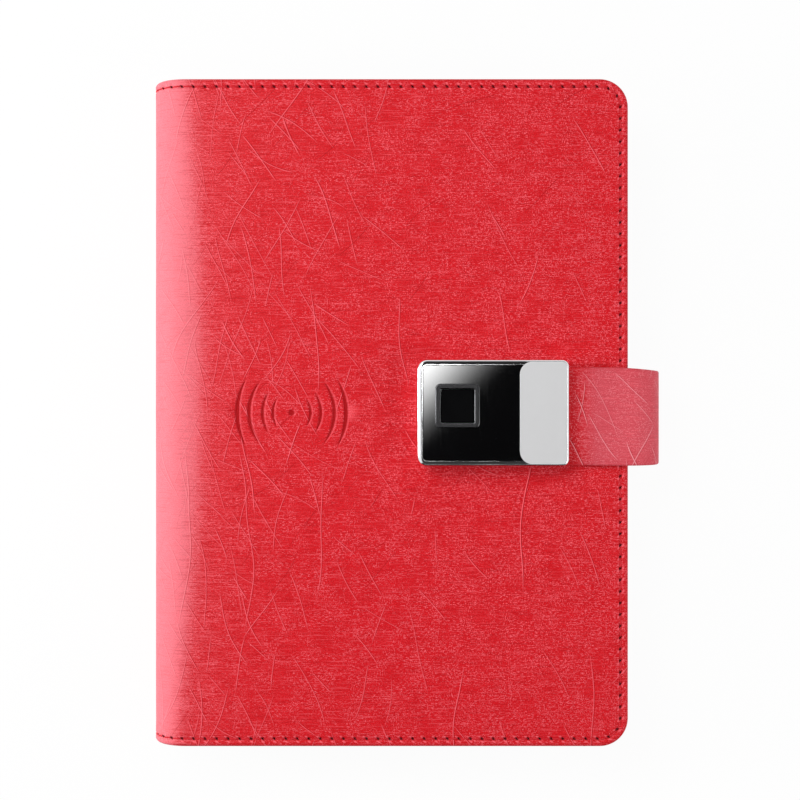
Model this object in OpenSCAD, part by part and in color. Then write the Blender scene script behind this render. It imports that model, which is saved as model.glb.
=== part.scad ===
// Electronic secret diary: a ring-binder cover with a fingerprint lock and a charging pad.
// It lies on its back cover, with the spine at -X, the strap at +X and its head at +Y.

/* [Covers] */
// Height of the covers, from tail to head
cover_h = 235; // [200:1:260]
// Width of a cover, from the spine's outer face to the fore edge
cover_w = 168; // [160:1:185]
// Thickness of the closed diary, without the lock
closed_t = 33; // [32.5:0.5:38]
// Radius of the two corners at the fore edge
corner_r = 10; // [4:0.5:16]
// Radius of the leather where a cover turns into the spine
fold_r = 12; // [10:0.5:13]
// Thickness of the outer leather
leather_t = 1.2; // [1:0.1:1.6]
// Thickness of the leather and lining that bend at a fold
hinge_t = 2; // [1.4:0.1:2.2]
// Thickness of the lining inside the covers
lining_t = 0.8; // [0.5:0.1:1.2]
// Thickness of the stiff board in the front cover
front_board_t = 3; // [2.8:0.1:3.6]

/* [Stitching] */
// Distance of the stitching from the edge
stitch_inset = 2.9; // [2.2:0.1:5]
// Width of the groove that holds the thread
groove_w = 0.9; // [0.7:0.05:1.4]
// Depth of that groove
groove_deep = 0.45; // [0.2:0.05:0.6]
// Width of the thread
thread_w = 0.6; // [0.3:0.05:0.65]
// Height of the thread above the groove's floor
thread_h = 0.3; // [0.1:0.05:0.35]

/* [Charging mark] */
// Distance of the mark's dot from the spine's outer face
mark_inset = 49.6; // [40:0.5:60]
// Depth of the pressed mark
mark_deep = 0.4; // [0.1:0.05:0.6]
// Radius of the dot
dot_r = 0.8; // [0.5:0.1:2]
// Outer radii of the four arcs on each side of the dot
mark_rs = [6.7, 10.1, 14.9, 19.1];
// Widths of the arcs at their middle
mark_ws = [0.7, 0.8, 1, 1.27];
// Half angles of the arcs
mark_angles = [37, 36.5, 40, 34];

/* [Strap] */
// Thickness of the strap
strap_t = 2; // [1.8:0.1:2.4]
// Width of the strap
strap_w = 34.6; // [26:0.2:36]
// Place of the strap's middle along the diary's height
strap_y = -0.8; // [-2:0.1:1]
// Distance the strap stands out past the fore edge
strap_out = 13; // [12.5:0.1:18]
// Bend radius of the strap's middle layer
strap_r = 11; // [8:0.5:12]
// Gap between the strap and the front cover
strap_lift = 0.4; // [0.3:0.1:0.8]
// Length of strap glued inside the back cover
strap_root_l = 25; // [15:1:40]
// Width of the steel tongue
tongue_w = 16; // [12:0.5:20]
// Thickness of the tongue
tongue_t = 1.2; // [0.8:0.1:1.4]
// Length of tongue inside the lock
tongue_in = 13.4; // [12.5:0.1:15]
// Length of tongue inside the strap
tongue_hold = 12; // [8:0.5:20]

/* [Lock] */
// Width of the lock case along the diary's width
lock_w = 52; // [51:0.5:60]
// Size of the lock case along the diary's height
lock_d = 36.4; // [35.8:0.2:44]
// Height of the lock case above the front cover
lock_h = 9.5; // [9.4:0.1:14]
// Distance from the lock case to the fore edge
lock_inset = 22.1; // [18:0.1:26]
// Wall of the lock case, seen as the bright rim
lock_wall = 1.25; // [1:0.05:1.6]
// Corner radius of the lock case at the spine side
lock_r_left = 3.2; // [2:0.1:6]
// Corner radius of the lock case at the strap side
lock_r_right = 2.2; // [1.8:0.1:4]
// Thickness of the face panel and the end plate
panel_t = 1; // [0.8:0.05:1.2]
// Width of the pale end plate
end_plate_w = 15.45; // [10:0.1:18]
// Corner radius of the end plate next to the panel
end_plate_r = 4.4; // [1:0.1:8]
// Thickness of the lock's base plate
base_t = 1.2; // [0.8:0.1:1.4]
// Distance of the sensor's middle from the lock's spine side
sensor_inset = 13.65; // [13:0.1:16]
// Place of the sensor's middle along the diary's height
sensor_y = 2.4; // [-3:0.1:4]
// Outer size of the sensor bezel
bezel_w = 16.2; // [14:0.1:19]
// Size of the sensor pad
pad_w = 11.4; // [9:0.1:12]
// Travel of the latch bolt
bolt_travel = 2; // [1.8:0.1:2.2]
// Radius of the motor
motor_r = 2.4; // [2:0.1:2.5]
// Length of the motor
motor_l = 12; // [8:0.5:13]
// Distance of the motor's axis from the lock's spine side
drive_inset = 28.6; // [28:0.1:30]
// Width of the lock's battery cell
lock_cell_w = 15; // [12:0.5:16]
// Distance of that cell from the lock's spine side
lock_cell_inset = 6.5; // [6.3:0.1:8]
// Distance of the charging port's middle from the lock's spine side
port_inset = 14; // [12.5:0.1:18]
// Thickness of the steel plate that backs the lock inside the cover
backing_t = 1.2; // [0.8:0.1:1.4]

/* [Ring binder] */
// Distance of the ring centres from the spine's outer face
ring_inset = 18.5; // [18:0.1:20]
// Radius of a ring, to the middle of its wire
ring_r = 9.5; // [9:0.1:10]
// Radius of the ring wire
wire_r = 1.1; // [0.8:0.05:1.2]
// Height of the ring centres above the back cover
ring_rise = 11; // [10.8:0.1:11.5]
// Places of the rings above and below the middle of the diary
ring_places = [35, 54, 73];
// Width of the ring channel
channel_w = 20; // [19.6:0.2:20.6]
// Height of the ring channel
channel_h = 4.5; // [4.3:0.1:4.8]
// Wall of the ring channel
channel_wall = 0.8; // [0.6:0.1:1]
// Distance of the ring channel's ends from the covers' head and tail
channel_inset = 9.5; // [8:0.5:12]
// Height of the blades' pivots above the back cover
pivot_rise = 1.6; // [1.4:0.1:1.8]
// Distance of a blade's pivot from the ring centres
pivot_out = 8.5; // [8:0.1:8.8]
// Thickness of a blade
blade_t = 0.8; // [0.6:0.1:1]
// Width of a lever
lever_w = 10; // [6:0.5:14]
// Reach of a lever above its pin
lever_reach = 6.5; // [4:0.5:9]
// Thickness of a lever's tab
lever_t = 1.2; // [0.8:0.1:1.6]
// Lean of a lever's tab away from the paper
lever_lean = 25; // [10:1:35]

/* [Paper] */
// Distance of the paper's fore edge from the covers' fore edge
page_fore_inset = 5; // [5:0.5:20]
// Distance of the paper's head and tail from the ring channel's ends
page_end_inset = 3; // [3:0.5:10]
// Thickness of the page block
block_t = 9; // [6:0.5:9]
// Thickness of the packet of leaves that turns
leaf_t = 1; // [0.5:0.1:1]
// Radius of a ring hole in the paper
hole_r = 3.2; // [3.2:0.05:3.3]
// Distance of the paper's ring holes from the ring centres
hole_out = 8.9; // [8.85:0.05:8.95]
// Paper between a ring hole and the sheet's inner edge
hole_margin = 3.2; // [2:0.1:3.4]

/* [Power bank] */
// Width of the power bank
bank_w = 96; // [90:1:100]
// Height of the power bank along the cover
bank_d = 110; // [104:1:130]
// Thickness of the power bank
bank_t = 8.8; // [8.6:0.1:9.6]
// Distance of the power bank from the spine's outer face
bank_inset = 46.5; // [45:0.5:50]
// Wall of the power bank
bank_wall = 1.2; // [1:0.1:1.4]
// Corner radius of the power bank
bank_r = 6; // [4:0.5:8]
// Width of the battery cell
cell_w = 60; // [50:1:70]
// Height of the battery cell along the cover
cell_d = 78; // [60:1:80]
// Thickness of the battery cell
cell_t = 5.4; // [4:0.1:5.6]
// Width of the charger board
board_w = 72; // [60:1:76]
// Depth of the charger board along the cover
board_d = 15; // [14.5:0.5:17]
// Distance of the battery cell from the power bank's spine side
cell_inset = 12; // [4:0.5:16]
// Distance of the power button's middle from the charger board
button_inset = 12; // [8:0.5:20]
// Length of the power button
button_l = 8; // [5:0.5:12]
// Distance of the light window's middle from the button's middle
window_inset = 18; // [13:0.5:30]
// Length of the light window
window_l = 12; // [6:0.5:16]
// Travel of the power button
press = 0.5; // [0.3:0.05:0.8]
// Outer radius of the charging coil
coil_r = 23; // [18:0.5:24]
// Radius of the open middle of the charging coil
coil_eye_r = 10; // [6:0.5:14]
// Thickness of the charging coil
coil_t = 0.9; // [0.6:0.1:1]
// Thickness of the ferrite sheet under the coil
ferrite_t = 0.6; // [0.4:0.1:0.8]

/* [Fits] */
// Gap between soft or curved parts that lie on each other
lay_gap = 0.3; // [0.2:0.05:0.35]
// Gap round a part that drops into a recess
seat_gap = 0.1; // [0.05:0.05:0.2]
// Radial gap of a pin or screw in its hole
pin_gap = 0.05; // [0.03:0.01:0.1]
// Gap round a sliding part
slide_gap = 0.2; // [0.1:0.05:0.3]
// Shank radius of the small screws
screw_r = 1; // [0.8:0.05:1.2]
// Head radius of the small screws
head_r = 1.9; // [1.6:0.1:2.2]
// Head height of the small screws
head_h = 0.8; // [0.6:0.1:1]

/* [Hidden] */
$fn = 48;

leather_colour = "#c81f30";
thread_colour = "#b01a28";
board_colour = "#8a6f4d";
lining_colour = "#5c1a22";
steel_colour = "#b9bcc0";
dark_colour = "#0d0d0f";
paper_colour = "#f4efe2";
green_colour = "#1d5a37";
cell_colour = "#9aa3ad";

// Shared heights and places of the covers
left_x = -(cover_w + strap_out) / 2;
fore_x = left_x + cover_w;
flat_x = left_x + fold_r;
half_h = cover_h / 2;
back_board_t = strap_t;
back_t = leather_t + back_board_t + lining_t;
front_t = leather_t + front_board_t + lining_t;
front_z = closed_t - front_t;
board_z = front_z + lining_t;
skin_z = closed_t - leather_t;
spine_board_t = 2;
spine_t = leather_t + spine_board_t + lining_t;
cut = 1;

// Strap line
strap_x = left_x + cover_w + strap_out - strap_t / 2;
bend_x = strap_x - strap_r;
flap_z = closed_t + strap_lift + strap_t / 2;
low_bend_z = leather_t + strap_t / 2 + strap_r;
high_bend_z = flap_z - strap_r;
strap_slot_w = strap_w + 2 * seat_gap;

// Lock heights and places
lock_x1 = fore_x - lock_inset;
lock_x0 = lock_x1 - lock_w;
lock_y = lock_d / 2;
lock_top = closed_t + lock_h;
panel_sink = 0.2;
panel_z = lock_top - panel_sink - panel_t;
ledge_t = 0.7;
ledge_w = 1;
lock_board_t = 1;
lock_board_z = panel_z - ledge_t - slide_gap - lock_board_t;
base_top = closed_t + base_t;
end_plate_x = lock_x1 - lock_wall - seat_gap - end_plate_w;
sensor_x = lock_x0 + sensor_inset;
sensor_hole_w = bezel_w - 2;
boss_r = 2;
boss_inset = 4.6;
boss_left_y = lock_y - boss_inset + 1;
screw_places = [for (x = [lock_x0 + boss_inset, lock_x1 - lock_wall - boss_r - 0.3], s = [-1, 1])
  [x, s * boss_left_y]];
lock_screw_top = lock_board_z - 2;
rib_t = 1;
screw_slot_w = 0.4;
screw_slot_l = 2.4;
screw_slot_deep = 0.4;

// Latch drive: the motor turns the screw, the screw moves the bolt along Y
drive_x = lock_x0 + drive_inset;
drive_z = base_top + motor_r + slide_gap;
motor_y0 = -lock_y + lock_wall + 0.5;
motor_y1 = motor_y0 + motor_l;
drive_r = 0.9;
bolt_y0 = strap_y + tongue_w / 2 + 1;
bolt_l = 5.8;
nut_w = 6.8;
nut_x0 = drive_x - nut_w / 2;
nut_x1 = drive_x + nut_w / 2;
nut_z1 = drive_z + 1.9;
cradle_wall = 1.2;
cradle_end = 2;
screw_past = 0.8;
guide_t = 1.1;
guide_end = 0.3;
guide_rise = 0.6;
tongue_x0 = lock_x1 - tongue_in;
nose_x0 = tongue_x0 + 2.2;
nose_w = 4;
nose_bite = bolt_travel - slide_gap;
arm_z1 = base_top + slide_gap + 2;
tongue_z = flap_z - tongue_t / 2;
case_inside_y = lock_y - lock_wall;
sensor_rim_h = 0.7;
sensor_rim_r = 1.8;
pad_rise = 0.3;
cell_clear = 0.6;
port_mouth = 0.1;
port_x = lock_x0 + port_inset;
port_z = base_top + 2.2;

// Ring binder heights and places
ring_x = left_x + ring_inset;
ring_z = back_t + ring_rise;
ring_gap = 0.1;
ring_ys = [for (s = [-1, 1], y = ring_places) s * y];
channel_top = back_t + channel_h;
channel_l = cover_h - 2 * channel_inset;
pivot_z = back_t + pivot_rise;
blade_l = channel_l - 24;
blade_edge_r = blade_t / 2;
wire_end = asin((pivot_z + blade_t / 2 - ring_z) / ring_r);
rivet_y = channel_l / 2 - 8;
lever_pin_r = 0.8;
lever_pin_y = channel_l / 2 + 2.2;
lever_hub_r = 1.5;
lever_z = back_t + 2.4;
lug_t = 0.8;
lug_past = 1.6;
lug_hold = 2;
slot_in = 2.3;
blade_meet = 0.2;
rivet_end = 0.3;
rivet_head_h = 0.6;

// Paper lies in an S: over the ring channel at its inner edge, flat on the cover beyond it
hole_x = ring_x + hole_out;
page_x0 = hole_x - hole_r - hole_margin;
page_x1 = fore_x - page_fore_inset;
page_h = channel_l - 2 * page_end_inset;
bend_start = ring_x + channel_w / 2 + 1;
bend_l = 15;
bend_steps = 12;
page_low = back_t + lay_gap;
page_high = channel_top + lay_gap + 0.1;

// Power bank places
bank_x0 = left_x + bank_inset;
bank_x1 = bank_x0 + bank_w;
bank_y = bank_d / 2;
bank_z = front_z - bank_t;
bank_floor = bank_z + bank_wall;
bank_lid_z = front_z - bank_wall;
bank_mid_z = (bank_floor + bank_lid_z) / 2;
bank_boss_r = 2.6;
bank_boss_in = 6;
bank_lid_skin = 0.4;
bank_holes = [for (x = [bank_x0 + bank_boss_in, bank_x1 - bank_boss_in],
  y = [-bank_y + bank_boss_in, bank_y - bank_boss_in]) [x, y]];
board_t = 1;
board_y0 = -bank_y + bank_wall + 0.8;
board_mid_x = (bank_x0 + bank_x1) / 2;
post_r = 2;
post_x = 26;
post_y = board_y0 + 9;
cell_board_gap = 3;
cell_r = 1;
usb_a = [13.1, 14, 5.1];
usb_a_x = board_mid_x - 16;
usb_c = [8.94, 7.3, 3.2];
usb_c_x = board_mid_x + 14;
shell_t = 0.35;
contact_t = 0.7;
contact_w = 6.6;
reader_w = 11;
reader_h = 1.8;
button_y = board_y0 + board_d + button_inset;
button_h = 3;
button_out = 1;
flange_t = 0.9;
flange_out = 1;
flange_up = 0.8;
switch_w = 3;
switch_l = 6;
window_y = button_y + window_inset;
window_h = 2;
window_sink = 0.1;
mark_x = left_x + mark_inset;
pocket_r = coil_r + 1;
coil_z = skin_z - coil_t - seat_gap;
ferrite_z = coil_z - ferrite_t;

// A box from one corner to the opposite one
module bar(low, high) {
  translate(low) cube([high[0] - low[0], high[1] - low[1], high[2] - low[2]]);
}

// A plate with corner radius rl at its -X side and rr at its +X side
module slab(low, high, rl, rr) {
  w = high[0] - low[0];
  d = high[1] - low[1];
  translate(low) linear_extrude(high[2] - low[2]) {
    translate([rl, 0]) square([w - rl - rr, d]);
    translate([0, rl]) square([rl, d - 2 * rl]);
    translate([w - rr, rr]) square([rr, d - 2 * rr]);
    for (y = [rl, d - rl]) translate([rl, y]) circle(rl);
    for (y = [rr, d - rr]) translate([w - rr, y]) circle(rr);
  }
}

// Plan of a cover: square at the spine side, two round corners at the fore edge
module cover_plan(inset) {
  w = fore_x - inset - flat_x;
  y = half_h - inset;
  r = corner_r - inset;
  translate([flat_x, -y]) square([w - r, 2 * y]);
  translate([flat_x, r - y]) square([w, 2 * (y - r)]);
  for (s = [-1, 1]) translate([flat_x + w - r, s * (y - r)]) circle(r);
}

module cover_sheet(inset, z, t) {
  translate([0, 0, z]) linear_extrude(t) cover_plan(inset);
}

// A band that follows three edges of a cover at the stitching's distance
module stitch_band(w, z, t) {
  translate([0, 0, z]) linear_extrude(t) difference() {
    cover_plan(stitch_inset - w / 2);
    translate([-cut, 0]) cover_plan(stitch_inset + w / 2);
    translate([flat_x - 2 * cut, -half_h + stitch_inset + w / 2])
      square([3 * cut, cover_h - 2 * stitch_inset - w]);
  }
}

// A quarter pipe along Y round the centre (x, z), for the leather at a fold
module quarter(x, z, up) {
  translate([x, half_h, z]) rotate([90, 0, 0]) linear_extrude(cover_h) difference() {
    circle(fold_r);
    circle(fold_r - hinge_t);
    translate([0, -2 * fold_r]) square(4 * fold_r);
    translate([-2 * fold_r, up ? -4 * fold_r : 0]) square(4 * fold_r);
  }
}

// An upright hole or pin
module peg(x, y, z0, z1, r) {
  translate([x, y, z0]) cylinder(r = r, h = z1 - z0);
}

// Back cover
module back_leather() {
  color(leather_colour) difference() {
    cover_sheet(0, 0, back_t);
    cover_sheet(leather_t, leather_t, back_t);
    bar([flat_x - cut, -half_h + leather_t, leather_t], [flat_x + cut, half_h - leather_t, back_t + cut]);
    bar([fore_x - 2 * leather_t, strap_y - strap_slot_w / 2, leather_t],
      [fore_x + cut, strap_y + strap_slot_w / 2, leather_t + strap_t]);
    stitch_band(groove_w, -cut, cut + groove_deep);
    for (s = [-1, 1]) peg(ring_x, s * rivet_y, -cut, leather_t + cut, screw_r + pin_gap);
  }
}

module back_board() {
  color(board_colour) difference() {
    cover_sheet(leather_t, leather_t, back_board_t);
    bar([fore_x - strap_root_l - seat_gap, strap_y - strap_slot_w / 2, 0],
      [fore_x + cut, strap_y + strap_slot_w / 2, back_t]);
    for (s = [-1, 1]) peg(ring_x, s * rivet_y, 0, back_t, screw_r + pin_gap);
  }
}

module back_lining() {
  color(lining_colour) difference() {
    cover_sheet(leather_t, leather_t + back_board_t, lining_t);
    for (s = [-1, 1]) peg(ring_x, s * rivet_y, 0, back_t + cut, screw_r + pin_gap);
  }
}

module back_thread() {
  color(thread_colour) stitch_band(thread_w, groove_deep - thread_h, thread_h);
}

module hinge_leather_back() {
  color(leather_colour) quarter(flat_x, fold_r, false);
}

// Spine
module spine_leather() {
  color(leather_colour) difference() {
    bar([left_x, -half_h, fold_r], [left_x + spine_t, half_h, closed_t - fold_r]);
    bar([left_x + leather_t, leather_t - half_h, fold_r - cut],
      [left_x + spine_t + cut, half_h - leather_t, closed_t - fold_r + cut]);
  }
}

module spine_board() {
  color(board_colour) bar([left_x + leather_t, leather_t - half_h, fold_r],
    [left_x + leather_t + spine_board_t, half_h - leather_t, closed_t - fold_r]);
}

module spine_lining() {
  color(lining_colour) bar([left_x + spine_t - lining_t, leather_t - half_h, fold_r],
    [left_x + spine_t, half_h - leather_t, closed_t - fold_r]);
}

module hinge_leather_front() {
  color(leather_colour) quarter(flat_x, closed_t - fold_r, true);
}

// One arc of the charging mark: radius r, half angle a, widest in the middle
module arc_mark(r, a, w) {
  c = (r * r - (r - w) * (r - w)) / (2 * (r * cos(a) - r + w));
  difference() {
    circle(r);
    translate([c, 0]) circle(r - w - c);
  }
}

module charging_mark() {
  translate([mark_x, 0, closed_t - mark_deep]) linear_extrude(mark_deep + cut) {
    circle(dot_r);
    for (side = [0, 1], i = [0:len(mark_rs) - 1])
      mirror([side, 0]) arc_mark(mark_rs[i], mark_angles[i], mark_ws[i]);
  }
}

// Front cover
module front_leather() {
  color(leather_colour) difference() {
    cover_sheet(0, front_z, front_t);
    cover_sheet(leather_t, front_z - cut, front_t - leather_t + cut);
    bar([flat_x - cut, -half_h + leather_t, front_z - cut], [flat_x + cut, half_h - leather_t, skin_z]);
    stitch_band(groove_w, closed_t - groove_deep, groove_deep + cut);
    charging_mark();
    for (p = screw_places) peg(p[0], p[1], front_z, closed_t + cut, screw_r + pin_gap);
  }
}

module front_board() {
  color(board_colour) difference() {
    cover_sheet(leather_t, board_z, front_board_t);
    peg(mark_x, 0, ferrite_z, closed_t, pocket_r);
    lock_backing_block(seat_gap, board_z - cut);
    for (p = screw_places) peg(p[0], p[1], front_z, closed_t, screw_r + pin_gap);
  }
}

module front_lining() {
  color(lining_colour) cover_sheet(leather_t, front_z, lining_t);
}

module front_thread() {
  color(thread_colour) stitch_band(thread_w, closed_t - groove_deep, thread_h);
}

// Side view of a strap bend, from angle a0 to a1 round the bend's centre at height z
module strap_bend(z, a0, a1) {
  far = 2 * strap_r;
  translate([bend_x, z]) intersection() {
    difference() {
      circle(strap_r + strap_t / 2);
      circle(strap_r - strap_t / 2);
    }
    polygon([[0, 0], [far * cos(a0), far * sin(a0)], [far * cos(a1), far * sin(a1)]]);
  }
}

// A side view, drawn with X to the right and Z up, made as wide as the strap
module strap_wide() {
  translate([0, strap_y + strap_w / 2, 0]) rotate([90, 0, 0]) linear_extrude(strap_w) children();
}

module strap_root() {
  color(leather_colour) strap_wide() {
    translate([fore_x - strap_root_l, leather_t]) square([bend_x - fore_x + strap_root_l, strap_t]);
    strap_bend(low_bend_z, -90, -45);
  }
}

module strap_riser() {
  color(leather_colour) strap_wide() {
    strap_bend(low_bend_z, -45, 0);
    translate([strap_x - strap_t / 2, low_bend_z]) square([strap_t, high_bend_z - low_bend_z]);
    strap_bend(high_bend_z, 0, 45);
  }
}

module strap_flap() {
  color(leather_colour) difference() {
    strap_wide() {
      strap_bend(high_bend_z, 45, 90);
      translate([lock_x1 + seat_gap, flap_z - strap_t / 2]) square([bend_x - lock_x1 - seat_gap, strap_t]);
    }
    tongue_block(tongue_x0, seat_gap / 2);
  }
}

// The tongue's plate, grown by a gap on its broad faces and edges
module tongue_block(x0, gap) {
  bar([x0, strap_y - tongue_w / 2 - gap, tongue_z - gap],
    [lock_x1 + tongue_hold + gap, strap_y + tongue_w / 2 + gap, tongue_z + tongue_t + gap]);
}

module strap_tongue() {
  color(steel_colour) difference() {
    tongue_block(tongue_x0, 0);
    bar([nose_x0 - slide_gap, strap_y + tongue_w / 2 - bolt_travel, tongue_z - cut],
      [nose_x0 + nose_w + slide_gap, strap_y + tongue_w, tongue_z + tongue_t + cut]);
  }
}

// Lock: the case's four bosses stand on the base plate, take the screws and carry the circuit board
module lock_case() {
  color(steel_colour) {
    difference() {
      slab([lock_x0, -lock_y, closed_t], [lock_x1, lock_y, lock_top], lock_r_left, lock_r_right);
      slab([lock_x0 + lock_wall, -case_inside_y, closed_t - cut],
        [lock_x1 - lock_wall, case_inside_y, panel_z - ledge_t],
        lock_r_left - lock_wall, lock_r_right - lock_wall);
      slab([lock_x0 + lock_wall + ledge_w, -case_inside_y + ledge_w, closed_t],
        [lock_x1 - lock_wall - ledge_w, case_inside_y - ledge_w, lock_top],
        lock_r_left - lock_wall, lock_r_right - lock_wall);
      slab([lock_x0 + lock_wall, -case_inside_y, panel_z],
        [lock_x1 - lock_wall, case_inside_y, lock_top + cut],
        lock_r_left - lock_wall, lock_r_right - lock_wall);
      bar([lock_x1 - 2 * lock_wall, strap_y - tongue_w / 2 - slide_gap, closed_t - cut],
        [lock_x1 + cut, strap_y + tongue_w / 2 + slide_gap, tongue_z + tongue_t + slide_gap]);
      port_block(seat_gap, cut);
    }
    for (p = screw_places) difference() {
      union() {
        peg(p[0], p[1], base_top, lock_board_z, boss_r);
        bar([p[0] - rib_t / 2, min(p[1], sign(p[1]) * (case_inside_y + seat_gap)), base_top],
          [p[0] + rib_t / 2, max(p[1], sign(p[1]) * (case_inside_y + seat_gap)), lock_board_z]);
      }
      peg(p[0], p[1], base_top - cut, lock_screw_top + 0.3, screw_r + pin_gap);
    }
  }
}

module lock_base() {
  color("#77797d") difference() {
    slab([lock_x0 + lock_wall + seat_gap, seat_gap - case_inside_y, closed_t],
      [lock_x1 - lock_wall - seat_gap, case_inside_y - seat_gap, base_top],
      lock_r_left - lock_wall, lock_r_right - lock_wall);
    bar([tongue_x0 - slide_gap, strap_y - tongue_w / 2 - slide_gap, closed_t - cut],
      [lock_x1 + cut, strap_y + tongue_w / 2 + slide_gap, base_top + cut]);
    bar([nose_x0 - slide_gap, strap_y, closed_t - cut],
      [nose_x0 + nose_w + slide_gap, bolt_y0 + bolt_l + bolt_travel + slide_gap, base_top + cut]);
    for (p = screw_places) peg(p[0], p[1], closed_t - cut, base_top + cut, screw_r + pin_gap);
  }
}

// The backing plate's outline, grown by a gap all round
module lock_backing_block(gap, z0) {
  slab([lock_x0 + 1 - gap, 1 - lock_y - gap, z0],
    [lock_x1 - 1 + gap, lock_y - 1 + gap, board_z + head_h + backing_t], 3, 3);
}

module lock_backing() {
  color(steel_colour) difference() {
    lock_backing_block(0, board_z + head_h);
    for (p = screw_places) peg(p[0], p[1], front_z, closed_t, screw_r + pin_gap);
  }
}

// A driver slot in the lower end of a screw head at height z
module screw_slot(p, z, l, w) {
  bar([p[0] - l / 2, p[1] - w / 2, z - cut], [p[0] + l / 2, p[1] + w / 2, z + screw_slot_deep]);
}

module lock_screws() {
  color("#6f7276") for (p = screw_places) difference() {
    union() {
      peg(p[0], p[1], board_z, board_z + head_h, head_r);
      peg(p[0], p[1], board_z, lock_screw_top, screw_r);
    }
    screw_slot(p, board_z, screw_slot_l, screw_slot_w);
  }
}

// Plan of the end plate: its two corners next to the panel are round
module end_plate_plan(grow) {
  x0 = end_plate_x - grow;
  x1 = lock_x1 - lock_wall - seat_gap;
  y = case_inside_y - seat_gap;
  r = end_plate_r;
  rr = lock_r_right - lock_wall;
  translate([x0 + r, -y]) square([x1 - x0 - r - rr, 2 * y]);
  translate([x0, r - y]) square([r, 2 * (y - r)]);
  translate([x1 - rr, rr - y]) square([rr, 2 * (y - rr)]);
  for (s = [-1, 1]) translate([x0 + r, s * (y - r)]) circle(r);
  for (s = [-1, 1]) translate([x1 - rr, s * (y - rr)]) circle(rr);
}

module face_panel() {
  color(dark_colour) difference() {
    slab([lock_x0 + lock_wall + seat_gap, seat_gap - case_inside_y, panel_z],
      [end_plate_x + end_plate_r + 2, case_inside_y - seat_gap, panel_z + panel_t],
      lock_r_left - lock_wall, 0.2);
    translate([0, 0, panel_z - cut]) linear_extrude(panel_t + 2 * cut) end_plate_plan(seat_gap);
    bar([end_plate_x + end_plate_r - 0.2, -lock_y, panel_z - cut],
      [lock_x1, lock_y, panel_z + panel_t + cut]);
    bar([sensor_x - sensor_hole_w / 2, sensor_y - sensor_hole_w / 2, panel_z - cut],
      [sensor_x + sensor_hole_w / 2, sensor_y + sensor_hole_w / 2, panel_z + panel_t + cut]);
  }
}

module end_plate() {
  color("#cfd0d2") translate([0, 0, panel_z]) linear_extrude(panel_t) end_plate_plan(0);
}

module sensor_bezel() {
  rim_z = panel_z + panel_t;
  r = bezel_w / 2;
  hole = pad_w / 2 + seat_gap;
  skirt = sensor_hole_w / 2 - seat_gap;
  color("#4a4b4e") translate([sensor_x, sensor_y, 0]) difference() {
    union() {
      slab([-r, -r, rim_z], [r, r, rim_z + sensor_rim_h], sensor_rim_r, sensor_rim_r);
      bar([-skirt, -skirt, panel_z], [skirt, skirt, rim_z + seat_gap]);
    }
    bar([-hole, -hole, panel_z - cut], [hole, hole, rim_z + 2 * cut]);
  }
}

module sensor_pad() {
  r = pad_w / 2;
  color(dark_colour) bar([sensor_x - r, sensor_y - r, lock_board_z + lock_board_t],
    [sensor_x + r, sensor_y + r, panel_z + panel_t + pad_rise]);
}

module lock_board() {
  in = lock_wall + 0.4;
  color(green_colour) slab([lock_x0 + in, in - lock_y, lock_board_z],
    [end_plate_x - 2, lock_y - in, lock_board_z + lock_board_t], lock_r_left - lock_wall, 0.5);
}

module lock_cell() {
  x0 = lock_x0 + lock_cell_inset;
  y0 = -lock_y + usb_c[1] + 1.9;
  y1 = boss_left_y - boss_r - cell_clear;
  color(cell_colour) bar([x0, y0, base_top], [x0 + lock_cell_w, y1, lock_board_z - slide_gap]);
}

// Charging port in the lock's tail wall
module port_block(gap, past) {
  bar([port_x - usb_c[0] / 2 - gap, -lock_y - past, port_z - usb_c[2] / 2 - gap],
    [port_x + usb_c[0] / 2 + gap, -lock_y + usb_c[1] + gap, port_z + usb_c[2] / 2 + gap]);
}

module lock_port() {
  color(steel_colour) socket_c([port_x, -lock_y + port_mouth, port_z]);
}

// A flat socket whose mouth faces -Y, with its contact tongue inside
module socket_c(at) {
  w = usb_c[0];
  h = usb_c[2];
  translate(at) {
    difference() {
      bar([-w / 2, 0, -h / 2], [w / 2, usb_c[1] - 0.3, h / 2]);
      bar([shell_t - w / 2, -cut, shell_t - h / 2], [w / 2 - shell_t, usb_c[1] - 1.5, h / 2 - shell_t]);
    }
    bar([-contact_w / 2, contact_t, -contact_t / 2], [contact_w / 2, usb_c[1] - 1.4, contact_t / 2]);
  }
}

module lock_motor() {
  color(steel_colour) translate([drive_x, motor_y1, drive_z]) rotate([90, 0, 0]) difference() {
    cylinder(r = motor_r, h = motor_l);
    translate([0, 0, -cut]) cylinder(r = drive_r + pin_gap, h = cut + 2);
  }
}

module motor_cradle() {
  y0 = motor_y0 + cradle_end;
  y1 = motor_y1 - cradle_end;
  r = motor_r + seat_gap;
  w = r + cradle_wall;
  color("#2b2c2f") difference() {
    bar([drive_x - w, y0, base_top], [drive_x + w, y1, drive_z]);
    translate([drive_x, y1 + cut, drive_z]) rotate([90, 0, 0]) cylinder(r = r, h = y1 - y0 + 2 * cut);
  }
}

module motor_screw() {
  y1 = bolt_y0 + bolt_l + screw_past;
  color("#c9a227") translate([drive_x, y1, drive_z]) rotate([90, 0, 0])
    cylinder(r = drive_r, h = y1 - motor_y1 + 1.8);
}

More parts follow.
